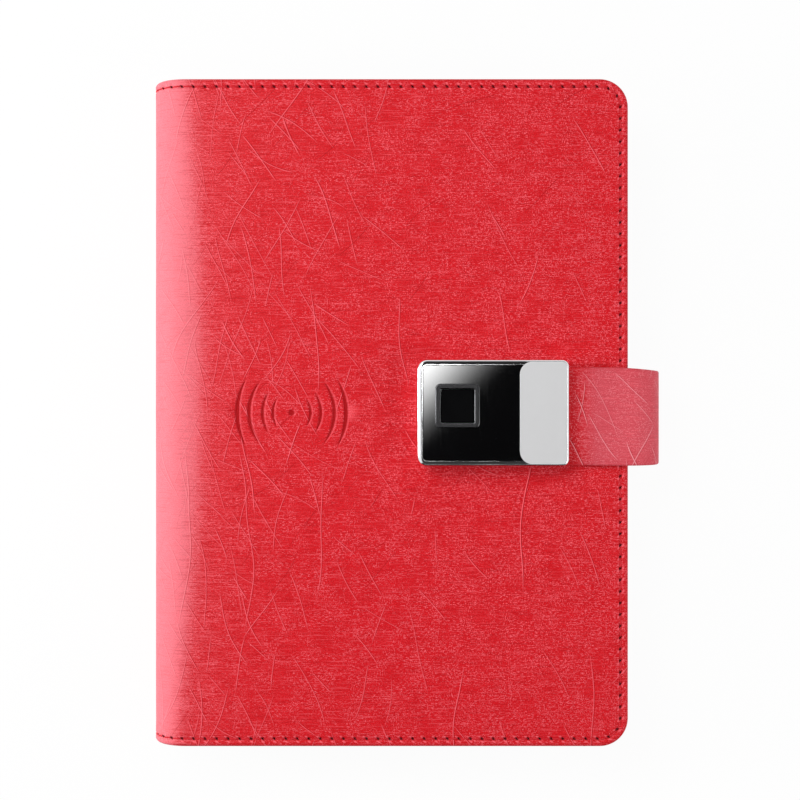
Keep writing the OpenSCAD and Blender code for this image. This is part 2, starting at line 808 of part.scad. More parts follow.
// The bolt has a nut on the screw, an arm above the base plate and a nose in the tongue's notch
module latch_bolt() {
  z0 = base_top + slide_gap;
  y1 = bolt_y0 + bolt_l;
  nose_y0 = strap_y + tongue_w / 2 - nose_bite;
  color("#c9a227") difference() {
    union() {
      bar([nut_x0, bolt_y0, z0], [nut_x1, y1, nut_z1]);
      bar([nut_x1 - cut, bolt_y0, z0], [nose_x0 + nose_w, y1, arm_z1]);
      bar([nose_x0, nose_y0, tongue_z], [nose_x0 + nose_w, y1, arm_z1]);
    }
    translate([drive_x, y1 + cut, drive_z]) rotate([90, 0, 0])
      cylinder(r = drive_r + pin_gap, h = bolt_l + 2 * cut);
  }
}

module bolt_guide() {
  x0 = nose_x0 + nose_w + slide_gap;
  color("#2b2c2f") bar([x0, bolt_y0 + guide_end, base_top],
    [x0 + guide_t, bolt_y0 + bolt_l - 6 * guide_end, arm_z1 + guide_rise]);
}

// Ring binder
module ring_channel() {
  w = channel_w / 2;
  l = channel_l / 2;
  lug = lever_w / 2 + slide_gap;
  slot_z = channel_top - channel_wall - seat_gap;
  color(steel_colour) difference() {
    union() {
      difference() {
        bar([ring_x - w, -l, back_t], [ring_x + w, l, channel_top]);
        bar([ring_x - w + channel_wall, -l - cut, back_t - cut],
          [ring_x + w - channel_wall, l + cut, channel_top - channel_wall]);
      }
      for (s = [-1, 1], e = [0, 1]) mirror([0, e, 0])
        bar([ring_x + s * (lug + lug_t / 2) - lug_t / 2, l - lug_hold, back_t],
          [ring_x + s * (lug + lug_t / 2) + lug_t / 2, lever_pin_y + lug_past, channel_top]);
    }
    for (y = ring_ys, s = [-1, 1])
      bar([ring_x + min(s * slot_in, s * (w + cut)), y - wire_r - lay_gap, slot_z],
        [ring_x + max(s * slot_in, s * (w + cut)), y + wire_r + lay_gap, channel_top + cut]);
    for (s = [-1, 1]) peg(ring_x, s * rivet_y, back_t, channel_top + cut, screw_r + pin_gap);
    for (e = [-1, 1]) translate([ring_x - lever_w, e * lever_pin_y, lever_z]) rotate([0, 90, 0])
      cylinder(r = lever_pin_r + pin_gap, h = 2 * lever_w);
  }
}

module channel_rivets() {
  color(steel_colour) for (s = [-1, 1]) {
    peg(ring_x, s * rivet_y, rivet_end, channel_top, screw_r);
    peg(ring_x, s * rivet_y, channel_top, channel_top + rivet_head_h, head_r);
  }
}

// One side of the ring mechanism: a blade with its pivot edge and a half ring at each place
module ring_side(s) {
  color("#d4d6d9") {
    bar([ring_x + min(s * blade_meet, s * pivot_out), -blade_l / 2, pivot_z - blade_t / 2],
      [ring_x + max(s * blade_meet, s * pivot_out), blade_l / 2, pivot_z + blade_t / 2]);
    translate([ring_x + s * pivot_out, blade_l / 2, pivot_z]) rotate([90, 0, 0])
      cylinder(r = blade_edge_r, h = blade_l);
    for (y = ring_ys) translate([ring_x, y, ring_z]) mirror([s < 0 ? 1 : 0, 0, 0])
      rotate([90, 0, 0]) rotate([0, 0, wire_end])
        rotate_extrude(angle = 90 - asin(ring_gap / ring_r) - wire_end)
          translate([ring_r, 0]) circle(wire_r);
  }
}

module ring_set_left() {
  ring_side(-1);
}

module ring_set_right() {
  ring_side(1);
}

// A lever at one end: a hub on its pin and a tab that leans outwards
module lever(e) {
  color("#d4d6d9") translate([ring_x, e * lever_pin_y, lever_z]) {
    translate([-lever_w / 2, 0, 0]) rotate([0, 90, 0]) cylinder(r = lever_hub_r, h = lever_w);
    translate([-lever_w / 2 - slide_gap - lug_t, 0, 0]) rotate([0, 90, 0])
      cylinder(r = lever_pin_r, h = lever_w + 2 * (slide_gap + lug_t));
    rotate([-e * lever_lean, 0, 0]) slab_x(lever_w, lever_t, lever_reach);
  }
}

// An upright tab w wide along X, t thick, h high, centred on its foot
module slab_x(w, t, h) {
  bar([-w / 2, -t / 2, 0], [w / 2, t / 2, h - w / 4]);
  translate([0, t / 2, h - w / 4]) rotate([90, 0, 0]) linear_extrude(t) intersection() {
    translate([-w / 2, 0]) square([w, w / 4]);
    union() {
      for (s = [-1, 1]) translate([s * w / 4, 0]) circle(w / 4);
      translate([-w / 4, 0]) square([w / 2, w / 4]);
    }
  }
}

module lever_head() {
  lever(1);
}

module lever_tail() {
  lever(-1);
}

// Paper: height of the sheets above the S-shaped bed at place x
function drop(t) = (1 - cos(180 * t)) / 2;
function bed_line(lift) = concat([[page_x0, page_high + lift]],
  [for (i = [0:bend_steps]) [bend_start + bend_l * i / bend_steps,
    page_high + (page_low - page_high) * drop(i / bend_steps) + lift]],
  [[page_x1, page_low + lift]]);
function back_line(line) = [for (i = [len(line) - 1:-1:0]) line[i]];

module paper(lift, t) {
  difference() {
    translate([0, page_h / 2, 0]) rotate([90, 0, 0]) linear_extrude(page_h)
      polygon(concat(bed_line(lift), back_line(bed_line(lift + t))));
    for (y = ring_ys) peg(hole_x, y, 0, closed_t, hole_r);
  }
}

module page_block() {
  color(paper_colour) paper(0, block_t);
}

module page_leaf() {
  color(paper_colour) paper(block_t + lay_gap, leaf_t);
}

// Charging pad under the mark
module charging_coil() {
  color("#b8642c") difference() {
    peg(mark_x, 0, coil_z, coil_z + coil_t, coil_r);
    peg(mark_x, 0, coil_z - cut, closed_t, coil_eye_r);
  }
}

module ferrite_sheet() {
  color("#3a3a3d") peg(mark_x, 0, ferrite_z, coil_z, coil_r);
}

// Power bank: a hole for a socket in the tail wall, and one for a part in the fore-edge wall
module tail_hole(x, size) {
  bar([x - size[0] / 2 - seat_gap, -bank_y - cut, bank_mid_z - size[2] / 2 - seat_gap],
    [x + size[0] / 2 + seat_gap, 2 * bank_wall - bank_y, bank_mid_z + size[2] / 2 + seat_gap]);
}

module side_hole(y, half_l, half_h) {
  bar([bank_x1 - 2 * bank_wall, y - half_l, bank_mid_z - half_h],
    [bank_x1 + cut, y + half_l, bank_mid_z + half_h]);
}

module bank_case() {
  color("#1b1b1e") {
    difference() {
      slab([bank_x0, -bank_y, bank_z], [bank_x1, bank_y, bank_lid_z], bank_r, bank_r);
      slab([bank_x0 + bank_wall, bank_wall - bank_y, bank_floor],
        [bank_x1 - bank_wall, bank_y - bank_wall, front_z], bank_r - bank_wall, bank_r - bank_wall);
      for (p = bank_holes) {
        peg(p[0], p[1], bank_z - cut, bank_z + head_h, head_r + seat_gap);
        peg(p[0], p[1], bank_z, front_z, screw_r + pin_gap);
      }
      tail_hole(usb_a_x, usb_a);
      tail_hole(usb_c_x, usb_c);
      side_hole(button_y, button_l / 2 + slide_gap, button_h / 2 + slide_gap);
      side_hole(window_y, window_l / 2 + seat_gap, window_h / 2 + seat_gap);
    }
    for (p = bank_holes) difference() {
      peg(p[0], p[1], bank_floor, bank_lid_z, bank_boss_r);
      peg(p[0], p[1], bank_floor - cut, front_z, screw_r + pin_gap);
    }
    for (s = [-1, 1])
      peg(board_mid_x + s * post_x, post_y, bank_floor, bank_mid_z - board_t / 2, post_r);
  }
}

module bank_lid() {
  color("#1b1b1e") difference() {
    slab([bank_x0, -bank_y, bank_lid_z], [bank_x1, bank_y, front_z], bank_r, bank_r);
    for (p = bank_holes) peg(p[0], p[1], bank_z, front_z - bank_lid_skin / 2, screw_r + pin_gap);
  }
}

module bank_screws() {
  color("#8d9094") for (p = bank_holes) difference() {
    union() {
      peg(p[0], p[1], bank_z, bank_z + head_h, head_r);
      peg(p[0], p[1], bank_z, front_z - bank_lid_skin, screw_r);
    }
    screw_slot(p, bank_z, screw_slot_l, screw_slot_w);
    screw_slot(p, bank_z, screw_slot_w, screw_slot_l);
  }
}

module battery_cell() {
  x0 = bank_x0 + cell_inset;
  y0 = board_y0 + board_d + cell_board_gap;
  color(cell_colour) slab([x0, y0, bank_floor],
    [x0 + cell_w, y0 + cell_d, bank_floor + cell_t], cell_r, cell_r);
}

module charger_board() {
  z0 = bank_mid_z - board_t / 2;
  color(green_colour) difference() {
    bar([board_mid_x - board_w / 2, board_y0, z0],
      [board_mid_x + board_w / 2, board_y0 + board_d, z0 + board_t]);
    for (s = [[usb_a_x, usb_a], [usb_c_x, usb_c]])
      bar([s[0] - s[1][0] / 2 - seat_gap, board_y0 - cut, z0 - cut],
        [s[0] + s[1][0] / 2 + seat_gap, s[1][1] - bank_y + seat_gap, z0 + 2 * cut]);
  }
}

module usb_a_socket() {
  w = usb_a[0];
  h = usb_a[2];
  color(steel_colour) translate([usb_a_x, port_mouth - bank_y, bank_mid_z]) {
    difference() {
      bar([-w / 2, 0, -h / 2], [w / 2, usb_a[1] - 0.3, h / 2]);
      bar([shell_t - w / 2, -cut, shell_t - h / 2], [w / 2 - shell_t, usb_a[1] - 3, h / 2 - shell_t]);
    }
    bar([-reader_w / 2, 1, 0], [reader_w / 2, usb_a[1] - 2.9, reader_h]);
  }
}

module usb_c_socket() {
  color(steel_colour) socket_c([usb_c_x, port_mouth - bank_y, bank_mid_z]);
}

module light_window() {
  color("#e8edf2") bar([bank_x1 - bank_wall, window_y - window_l / 2, bank_mid_z - window_h / 2],
    [bank_x1 - window_sink, window_y + window_l / 2, bank_mid_z + window_h / 2]);
}

// The button stands out of the wall and has a flange inside it
module power_button() {
  x0 = bank_x1 - bank_wall - seat_gap - flange_t;
  y = button_l / 2;
  z = button_h / 2;
  color("#b9bcc0") {
    bar([x0, button_y - y, bank_mid_z - z], [bank_x1 + button_out, button_y + y, bank_mid_z + z]);
    bar([x0, button_y - y - flange_out, bank_mid_z - z - flange_up],
      [x0 + flange_t, button_y + y + flange_out, bank_mid_z + z + flange_up]);
  }
}

module button_switch() {
  x1 = bank_x1 - bank_wall - flange_t - press - 2 * seat_gap;
  color("#2b2c2f") bar([x1 - switch_w, button_y - switch_l / 2, bank_floor],
    [x1, button_y + switch_l / 2, bank_lid_z]);
}

back_leather();
back_board();
back_lining();
back_thread();
hinge_leather_back();
spine_leather();
spine_board();
spine_lining();
hinge_leather_front();
front_leather();
front_board();
front_lining();
front_thread();
strap_root();
strap_riser();
strap_flap();
strap_tongue();
lock_case();
lock_base();
lock_backing();
lock_screws();
face_panel();
end_plate();
sensor_bezel();
sensor_pad();
lock_board();
lock_cell();
lock_port();
lock_motor();
motor_cradle();
motor_screw();
latch_bolt();
bolt_guide();
ring_channel();
channel_rivets();
ring_set_left();
ring_set_right();
lever_head();
lever_tail();
page_block();
page_leaf();
charging_coil();
ferrite_sheet();
bank_case();
bank_lid();
bank_screws();
battery_cell();
charger_board();
usb_a_socket();
usb_c_socket();
light_window();
power_button();
button_switch();
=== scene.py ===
"""Finishes the electronic secret diary: leather covers with stitching and a pressed charging mark,
a strap, a fingerprint lock, a ring binder, paper and a power bank, on a pale floor under soft light."""

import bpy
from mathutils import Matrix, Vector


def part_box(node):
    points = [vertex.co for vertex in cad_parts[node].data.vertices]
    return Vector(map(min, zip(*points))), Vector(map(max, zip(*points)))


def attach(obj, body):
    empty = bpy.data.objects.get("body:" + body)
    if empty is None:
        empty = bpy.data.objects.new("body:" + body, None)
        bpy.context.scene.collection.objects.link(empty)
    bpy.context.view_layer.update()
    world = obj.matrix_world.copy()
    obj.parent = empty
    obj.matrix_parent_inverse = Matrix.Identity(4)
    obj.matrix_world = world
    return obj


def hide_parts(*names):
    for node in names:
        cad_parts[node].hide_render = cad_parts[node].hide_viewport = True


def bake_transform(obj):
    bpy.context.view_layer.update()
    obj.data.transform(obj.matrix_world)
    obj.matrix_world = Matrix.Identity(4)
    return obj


bl_info = {
    "name": "Electronic Secret Diary",
    "version": (1, 0, 0),
    "blender": (4, 5, 0),
    "location": "View3D > Sidebar > Diary",
    "description": "Builds the skins, stitches, strap, lock trim and finishes of a locking diary",
    "category": "Object",
}

from types import SimpleNamespace

import bmesh
import bpy
import numpy as np
from mathutils import Vector
from mathutils.geometry import tessellate_polygon

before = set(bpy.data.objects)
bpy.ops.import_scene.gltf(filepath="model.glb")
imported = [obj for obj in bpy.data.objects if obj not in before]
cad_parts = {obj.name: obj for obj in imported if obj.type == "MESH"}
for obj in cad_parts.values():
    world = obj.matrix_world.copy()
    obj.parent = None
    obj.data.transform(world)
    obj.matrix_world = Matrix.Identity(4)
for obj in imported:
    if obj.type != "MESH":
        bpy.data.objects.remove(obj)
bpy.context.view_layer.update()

MM = 0.001


def edges_of(node):
    """The lowest and highest corner of a CAD node in millimetres."""
    low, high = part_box(node)
    return np.array(low) / MM, np.array(high) / MM


# Sizes of the covers, read from the frame, in millimetres
FRONT_LOW, FRONT_HIGH = edges_of("front_leather")
SPINE_LOW, SPINE_HIGH = edges_of("spine_leather")
FLAT_X = FRONT_LOW[0]
FORE_X = FRONT_HIGH[0]
HALF_H = FRONT_HIGH[1]
CLOSED = FRONT_HIGH[2]
FRONT_T = FRONT_HIGH[2] - FRONT_LOW[2]
BACK_T = edges_of("back_leather")[1][2]
LEFT_X = SPINE_LOW[0]
SPINE_T = SPINE_HIGH[0] - SPINE_LOW[0]
FOLD_R = FLAT_X - LEFT_X
# The skin's thickness at the folds, and the corner radius of the covers
HINGE_T = 2.0
CORNER_R = 10.0
# The skin's length from the spine's middle: upright, round the fold, and over the cover
STRAIGHT = CLOSED / 2 - FOLD_R
ARC = FOLD_R * np.pi / 2
COVER_W = FORE_X - FLAT_X
HALF_S = STRAIGHT + ARC + COVER_W
COIL_LOW, COIL_HIGH = edges_of("charging_coil")
# The place of the charging mark's dot on the skin, over the middle of the coil
MARK_S = STRAIGHT + ARC + (COIL_LOW[0] + COIL_HIGH[0]) / 2 - FLAT_X

# The charging mark's arcs on each side of the dot: radius, half angle and greatest width
MARK_ARCS = ((7.0, 38.5, 0.80), (10.7, 36.5, 0.95), (15.55, 40.5, 1.12), (19.8, 33.5, 1.3))
DOT_R = 0.95
# The width of the soft step at the edge of the stamp
STAMP_SOFT = 0.28
# How far the mark reaches from its dot along and across the cover, with a little room
MARK_REACH = 20.2
MARK_HALF = 11.6

# Heights of the skin's soft relief: unevenness, creases at the spine and the hollow at the mark
SAG = 0.05
CREASE = 0.035
HOLLOW = 0.03
# The skin sheet's thickness, and how far it lies under the edge band
SHEET_T = 0.62
SHEET_SINK = 0.02

# Distances from the covers' edge: where the skin's middle sheet ends, how far the edge band
# reaches, and a value that stands for no stitch near
SHEET_INSET = 5.0
BAND_REACH = 5.2
NO_STITCH = 9.0
# The rolls at the turned edge's outer and inner corner
OUTER_ROLL = 1.3
INNER_ROLL = 0.5

# The strap, whose outer face lies a little inside the riser's
RISER_LOW, RISER_HIGH = edges_of("strap_riser")
STRAP_X = RISER_HIGH[0] - 0.8
ROOT_LOW = edges_of("strap_root")[0]
FLAP_HIGH = edges_of("strap_flap")[1]
# The strap's UV starts this far along, so that its grain is not the covers' grain
STRAP_UV = 300

# The lock
CASE_LOW, CASE_HIGH = edges_of("lock_case")
PANEL_LOW, PANEL_HIGH = edges_of("face_panel")
END_LOW, END_HIGH = edges_of("end_plate")
BEZEL_LOW, BEZEL_HIGH = edges_of("sensor_bezel")
PAD_LOW, PAD_HIGH = edges_of("sensor_pad")


def smooth(value, low, high):
    """A smooth step from 0 at low to 1 at high, 3t^2 - 2t^3, where t is the share of the way."""
    t = np.clip((value - low) / (high - low), 0, 1)
    return t * t * (3 - 2 * t)


def spread(*stops):
    """Places along a line: each stop is (end, number of steps), and the first is only a start."""
    places = [np.array([stops[0][0]], float)]
    for (start, _), (end, steps) in zip(stops[:-1], stops[1:]):
        places.append(np.linspace(start, end, steps + 1)[1:])
    return np.concatenate(places)


def grid_faces(rows, columns, wrap=False):
    """The four corners of each cell of a grid of points numbered row by row. wrap joins the last
    column to the first."""
    r = np.arange(rows - 1)
    c = np.arange(columns if wrap else columns - 1)
    r, c = np.meshgrid(r, c, indexing="ij")
    first, next_c = r * columns, (c + 1) % columns
    second = first + columns
    quads = np.stack([first + c, second + c, second + next_c, first + next_c], axis=-1)
    return quads.reshape(-1, 4)


def cover_point(s, y, h, side):
    """A point of the cover's skin: s runs from the spine's middle over the fold to the fore edge,
    y along the spine, h stands out of the outer face. side is 1 for the front and -1 for the back.
    Up to STRAIGHT the skin is upright, then it turns a quarter round FOLD_R, then it lies flat."""
    s, y, h = np.broadcast_arrays(np.asarray(s, float), np.asarray(y, float), np.asarray(h, float))
    turn = np.clip((s - STRAIGHT) / FOLD_R, 0, np.pi / 2)
    past = np.maximum(s - STRAIGHT - ARC, 0)
    up = np.minimum(s - STRAIGHT, 0)
    x = FLAT_X - (FOLD_R + h) * np.cos(turn) + past
    z = CLOSED - FOLD_R + (FOLD_R + h) * np.sin(turn) + up
    if side < 0:
        z = CLOSED - z
    return np.stack([x, y, z], axis=-1)


class Surface:
    """Collects patches of points and faces, with a UV and named values at each point."""

    def __init__(self):
        self.points, self.quads, self.uvs, self.values, self.slots = [], [], [], {}, []
        self.count = 0

    def add(self, points, quads, uv=None, slot=0, **values):
        """Adds points (N x 3, in millimetres) and faces; a repeated corner makes a triangle."""
        points = np.asarray(points, float).reshape(-1, 3)
        n = len(points)
        self.points.append(points)
        self.quads.append(np.asarray(quads, int).reshape(-1, 4) + self.count)
        self.slots.append(np.full(len(self.quads[-1]), slot))
        self.uvs.append(np.zeros((n, 2)) if uv is None else np.asarray(uv, float).reshape(-1, 2))
        for key in set(self.values) | set(values):
            had = self.values.setdefault(key, [np.zeros(self.count)] if self.count else [])
            given = values.get(key, 0.0)
            had.append(np.broadcast_to(np.asarray(given, float).reshape(-1), (n,)).copy())
        self.count += n

    def grid(self, points, uv=None, flip=False, wrap=False, slot=0, **values):
        """Adds a grid of points (rows x columns x 3); flip turns its faces over."""
        rows, columns = points.shape[:2]
        quads = grid_faces(rows, columns, wrap)
        self.add(points, quads[:, ::-1] if flip else quads, uv, slot, **values)

    def build(self, name, materials, crease=40, merge=1e-4):
        """Makes the object: doubles are merged, faces turned outwards, and edges sharper than the
        crease angle stay sharp."""
        points, quads, slots, uv = map(np.concatenate, (self.points, self.quads, self.slots, self.uvs))
        values = {k: np.concatenate(v) for k, v in self.values.items()}
        loop_uv = uv[quads]
        if merge:
            cells = np.round(points / merge).astype(np.int64)
            _, first, back = np.unique(cells, axis=0, return_index=True, return_inverse=True)
            points, quads = points[first], back.reshape(-1)[quads]
            values = {k: v[first] for k, v in values.items()}
        keep = quads != np.roll(quads, -1, axis=1)
        corners = keep.sum(axis=1)
        alive = corners >= 3
        quads, loop_uv, keep = quads[alive], loop_uv[alive], keep[alive]
        corners, slots = corners[alive], slots[alive]
        loops = quads[keep]
        mesh = bpy.data.meshes.new(name)
        mesh.vertices.add(len(points))
        mesh.vertices.foreach_set("co", (points * MM).astype(np.float32).ravel())
        mesh.loops.add(len(loops))
        mesh.loops.foreach_set("vertex_index", loops.astype(np.int32))
        mesh.polygons.add(len(corners))
        starts = np.concatenate([[0], np.cumsum(corners)[:-1]]).astype(np.int32)
        mesh.polygons.foreach_set("loop_start", starts)
        mesh.polygons.foreach_set("material_index", slots.astype(np.int32))
        layer = mesh.uv_layers.new(name="UVMap")
        layer.uv.foreach_set("vector", (loop_uv[keep] / 10).astype(np.float32).ravel())
        for key, value in values.items():
            data = mesh.attributes.new(key, "FLOAT", "POINT")
            data.data.foreach_set("value", value.astype(np.float32))
        mesh.update(calc_edges=True)
        mesh.validate()
        work = bmesh.new()
        work.from_mesh(mesh)
        bmesh.ops.recalc_face_normals(work, faces=work.faces)
        work.to_mesh(mesh)
        work.free()
        mesh.shade_smooth()
        mesh.set_sharp_from_angle(angle=np.radians(crease))
        for material in materials:
            mesh.materials.append(material)
        piece = bpy.data.objects.new(name, mesh)
        bpy.context.scene.collection.objects.link(piece)
        return piece


def shell(surface, outer, inner, uv, **values):
    """Adds a closed sheet: the outer grid, the inner grid turned over, and strips between them."""
    rows, columns = outer.shape[:2]
    n = rows * columns
    top = grid_faces(rows, columns)
    ids = np.arange(n).reshape(rows, columns)
    rim = np.concatenate([ids[:, 0], ids[-1, 1:], ids[-2::-1, -1], ids[0, -2:0:-1]])
    nxt = np.roll(rim, -1)
    side = np.stack([rim, rim + n, nxt + n, nxt], axis=-1)
    points = np.concatenate([outer.reshape(-1, 3), inner.reshape(-1, 3)])
    uv = np.asarray(uv).reshape(-1, 2)
    doubled = {k: np.concatenate([np.asarray(v).reshape(-1)] * 2) for k, v in values.items()}
    quads = np.concatenate([top, top[:, ::-1] + n, side[:, ::-1]])
    surface.add(points, quads, np.concatenate([uv, uv]), **doubled)


class Finish:
    """Helps to write a material's node tree, one named step after another."""

    def __init__(self, name, colour, rough=0.5, metal=0.0, **sockets):
        self.material = bpy.data.materials.new(name)
        self.material.use_nodes = True
        self.tree = self.material.node_tree
        self.shader = self.tree.nodes["Principled BSDF"]
        self.place = -200
        self.set("Base Color", colour)
        self.set("Roughness", rough)
        self.set("Metallic", metal)
        for key, value in sockets.items():
            self.set(key.replace("_", " "), value)

    def set(self, socket, value):
        """A constant goes on the shader's own socket, and a node's output is linked to it."""
        target = self.shader.inputs[socket]
        if isinstance(value, bpy.types.NodeSocket):
            self.tree.links.new(value, target)
        elif hasattr(target.default_value, "__len__") and len(target.default_value) == 4:
            target.default_value = (*value[:3], 1)
        else:
            target.default_value = value

    def node(self, kind, settings=None, **inputs):
        """Adds a node, sets its options, and links or sets its inputs by name or number."""
        step = self.tree.nodes.new(kind)
        step.location = (self.place, 0)
        self.place -= 40
        for key, value in (settings or {}).items():
            setattr(step, key, value)
        for key, value in inputs.items():
            socket = step.inputs[int(key[1:])] if key[0] == "i" and key[1:].isdigit() else step.inputs[key]
            if isinstance(value, bpy.types.NodeSocket):
                self.tree.links.new(value, socket)
            elif hasattr(value, "__len__") and len(value) == 3 and len(socket.default_value) == 4:
                socket.default_value = (*value, 1)
            else:
                socket.default_value = value
        return step

    def object_place(self):
        """Object coordinates, in metres."""
        return self.node("ShaderNodeTexCoord").outputs["Object"]

    def uv_place(self):
        """The piece's own UVs, in centimetres."""
        return self.node("ShaderNodeUVMap", {"uv_map": "UVMap"}).outputs["UV"]

    def value(self, name):
        """A named value that the mesh carries at its points."""
        return self.node("ShaderNodeAttribute", {"attribute_name": name}).outputs["Fac"]

    def stretched(self, place, scale, turn=0.0, move=(0, 0, 0)):
        """The place scaled, turned about Z in degrees and moved."""
        step = self.node("ShaderNodeMapping", i0=place)
        step.inputs["Scale"].default_value = scale
        step.inputs["Rotation"].default_value = (0, 0, np.radians(turn))
        step.inputs["Location"].default_value = move
        return step.outputs[0]

    def noise(self, place, scale=5.0, detail=2.0, rough=0.5, bend=0.0):
        """Soft noise from 0 to 1; bend twists it."""
        step = self.node("ShaderNodeTexNoise", Vector=place, Scale=scale, Detail=detail,
                         Roughness=rough, Distortion=bend)
        return step.outputs[0]

    def ramp(self, value, low, high, bottom=0.0, top=1.0):
        """A smooth change from bottom to top as the value goes from low to high."""
        step = self.node("ShaderNodeMapRange", {"interpolation_type": "SMOOTHSTEP"}, i0=value)
        for i, number in enumerate((low, high, bottom, top)):
            step.inputs[i + 1].default_value = number
        return step.outputs[0]

    def math(self, what, a, b=0.0, c=0.0, clamp=False):
        """One step of arithmetic, kept from 0 to 1 where clamp is set."""
        step = self.node("ShaderNodeMath", {"operation": what, "use_clamp": clamp}, i0=a, i1=b, i2=c)
        return step.outputs[0]

    def mix(self, share, a, b):
        """Colour b over colour a, by the share."""
        step = self.node("ShaderNodeMix", {"data_type": "RGBA"}, i0=share, i6=a, i7=b)
        return step.outputs[2]

    def bump(self, height, strength=0.5, depth=0.1, over=None):
        """Small relief of the given depth in millimetres."""
        step = self.node("ShaderNodeBump", Height=height, Strength=strength, Distance=depth * MM)
        if over is not None:
            self.tree.links.new(over, step.inputs["Normal"])
        return step.outputs[0]

    def parts(self, vector):
        """A vector's x, y and z."""
        step = self.node("ShaderNodeSeparateXYZ", i0=vector)
        return step.outputs[0], step.outputs[1], step.outputs[2]

    def whole(self, what, vector):
        """A step of vector arithmetic on all three parts at once."""
        return self.node("ShaderNodeVectorMath", {"operation": what}, i0=vector).outputs[0]

    def product(self, *factors):
        """All factors multiplied, from left to right."""
        total = factors[0]
        for factor in factors[1:]:
            total = self.math("MULTIPLY", total, factor)
        return total

    def gap(self, a, b):
        """How far a is from b."""
        return self.math("ABSOLUTE", self.math("SUBTRACT", a, b))

    def hypot(self, a, b):
        """The square root of a squared plus b squared."""
        return self.math("SQRT", self.math("ADD", self.product(a, a), self.product(b, b)))

    def strokes(self, place, turn, cell, share, move):
        """A family of scratches. The surface is turned and cut into cells, and a cell's dice say
        whether it holds a line, and where: its middle is 0.3 + 0.4 a + (b - 0.5) t / 2 + (c - 0.5) t^2
        of the cell's width, t along the cell from -0.5 to 0.5. Gives the signed distance across
        the line and its strength, which fades towards its ends."""
        turned = self.stretched(place, (1, 1, 1), turn)
        lay = self.stretched(turned, (1 / cell[0], 1 / cell[1], 1), 0, move)
        dice = self.node("ShaderNodeTexWhiteNoise", {"noise_dimensions": "2D"},
                         Vector=self.whole("FLOOR", lay))
        a, b, c = self.parts(dice.outputs["Color"])
        x, y, _ = self.parts(self.whole("FRACTION", lay))
        t = self.math("SUBTRACT", y, 0.5)
        lean = self.product(self.math("SUBTRACT", b, 0.5), t, 0.5)
        bow = self.product(self.math("SUBTRACT", c, 0.5), t, t)
        middle = self.math("ADD", self.math("MULTIPLY_ADD", a, 0.4, 0.3), self.math("ADD", lean, bow))
        away = self.product(self.math("SUBTRACT", x, middle), cell[0])
        half = self.math("MULTIPLY_ADD", self.math("FRACT", self.product(c, 7.7)), 0.26, 0.22)
        inside = self.math("SUBTRACT", half, self.math("ABSOLUTE", t))
        ends = self.math("MULTIPLY", inside, 9.0, clamp=True)
        there = self.math("LESS_THAN", dice.outputs["Value"], share)
        return away, self.product(there, ends, self.math("MULTIPLY_ADD", b, 0.5, 0.5))

    def relief(self, normal):
        """Puts the relief on the shader, and gives the finished material."""
        self.set("Normal", normal)
        return self.material


def linear(colour):
    """A colour from 0 to 255 as the screen shows it, as numbers from 0 to 1 for linear light: c / 12.92
    in the dark end, and ((c + 0.055) / 1.055)^2.4 above it."""
    c = np.array(colour, float) / 255
    return tuple(np.where(c <= 0.04045, c / 12.92, ((c + 0.055) / 1.055) ** 2.4))


def skin_depth(s, side):
    """How far the cover's edge reaches down at place s: the spine's thickness, then the thin fold,
    then the cover's thickness, joined by smooth steps."""
    cover = FRONT_T if side > 0 else BACK_T
    out_of_spine = smooth(s, STRAIGHT - 0.5, STRAIGHT + 2)
    into_cover = smooth(s, STRAIGHT + ARC - 3.2, STRAIGHT + ARC - 0.2)
    return SPINE_T + (HINGE_T - SPINE_T) * out_of_spine + (cover - HINGE_T) * into_cover


def sag(s, y):
    """The slight unevenness of leather glued on board, from -1 to 1: three sines of unlike length."""
    return (np.sin(s / 23 + 0.4) * np.sin(y / 31 + 1.1) + np.sin((s + y) / 17) * 0.6
            + np.sin((s - 1.7 * y) / 11) * 0.3) / 1.9


def cockle(s, y):
    """Soft cross creases of the leather round the spine, from -1 to 1: waves along y that fade
    where the cover turns flat, each a little bent by s."""
    fade = 1 - smooth(s, STRAIGHT + ARC * 0.55, STRAIGHT + ARC * 1.1)
    wave = np.sin(y / 1.9 + np.sin(s / 5 + y / 13) * 1.6) * 0.5 + np.sin(y / 5.3 + s / 9) * 0.5
    patch = 0.5 + 0.5 * np.sin(y / 27 + 0.6) * np.sin(y / 11 + 2)
    return fade * wave * patch


def bend_tone_and_sheen(s, y):
    """How pale the leather is drawn where it is bent, partly a paler stretched tone and partly a
    painted sheen standing in for the lamps' highlight on the fold: about half on the spine's flat
    middle, 1 round the fold, and then 0.65 / (1 + exp((d - 5.2) / 1.5)) + 0.35 exp(-d / 12). d is how
    far the skin reaches past the fold, seen from above, and grows towards both ends, where the band
    narrows."""
    d = cover_point(s, 0, 0, 1)[..., 0] - FLAT_X + (y - 19) ** 2 / 2100
    fade = 0.65 / (1 + np.exp((d - 5.2) / 1.5)) + 0.35 * np.exp(-np.maximum(d, 0) / 12)
    return fade * (0.5 + 0.5 * smooth(s, STRAIGHT - 1, STRAIGHT + 5))


def mark_depth(s, y):
    """The pressed mark, 0 outside and 1 on its floor. An arc is what lies in its outer circle of
    radius r and outside a larger circle set back by c, so it is widest in its middle. The edge of
    the stamp is a smooth step."""
    x, y = np.abs(s - MARK_S), np.abs(y)
    inside = DOT_R - np.hypot(x, y)
    for r, half, width in MARK_ARCS:
        a = np.radians(half)
        c = (r * r - (r - width) ** 2) / (2 * (r * np.cos(a) - r + width))
        arc = np.minimum(r - np.hypot(x, y), np.hypot(x - c, y) - (r - width - c))
        inside = np.maximum(inside, np.where(x > 0, arc, -9))
    return smooth(inside, -STAMP_SOFT, 0.3 * STAMP_SOFT)


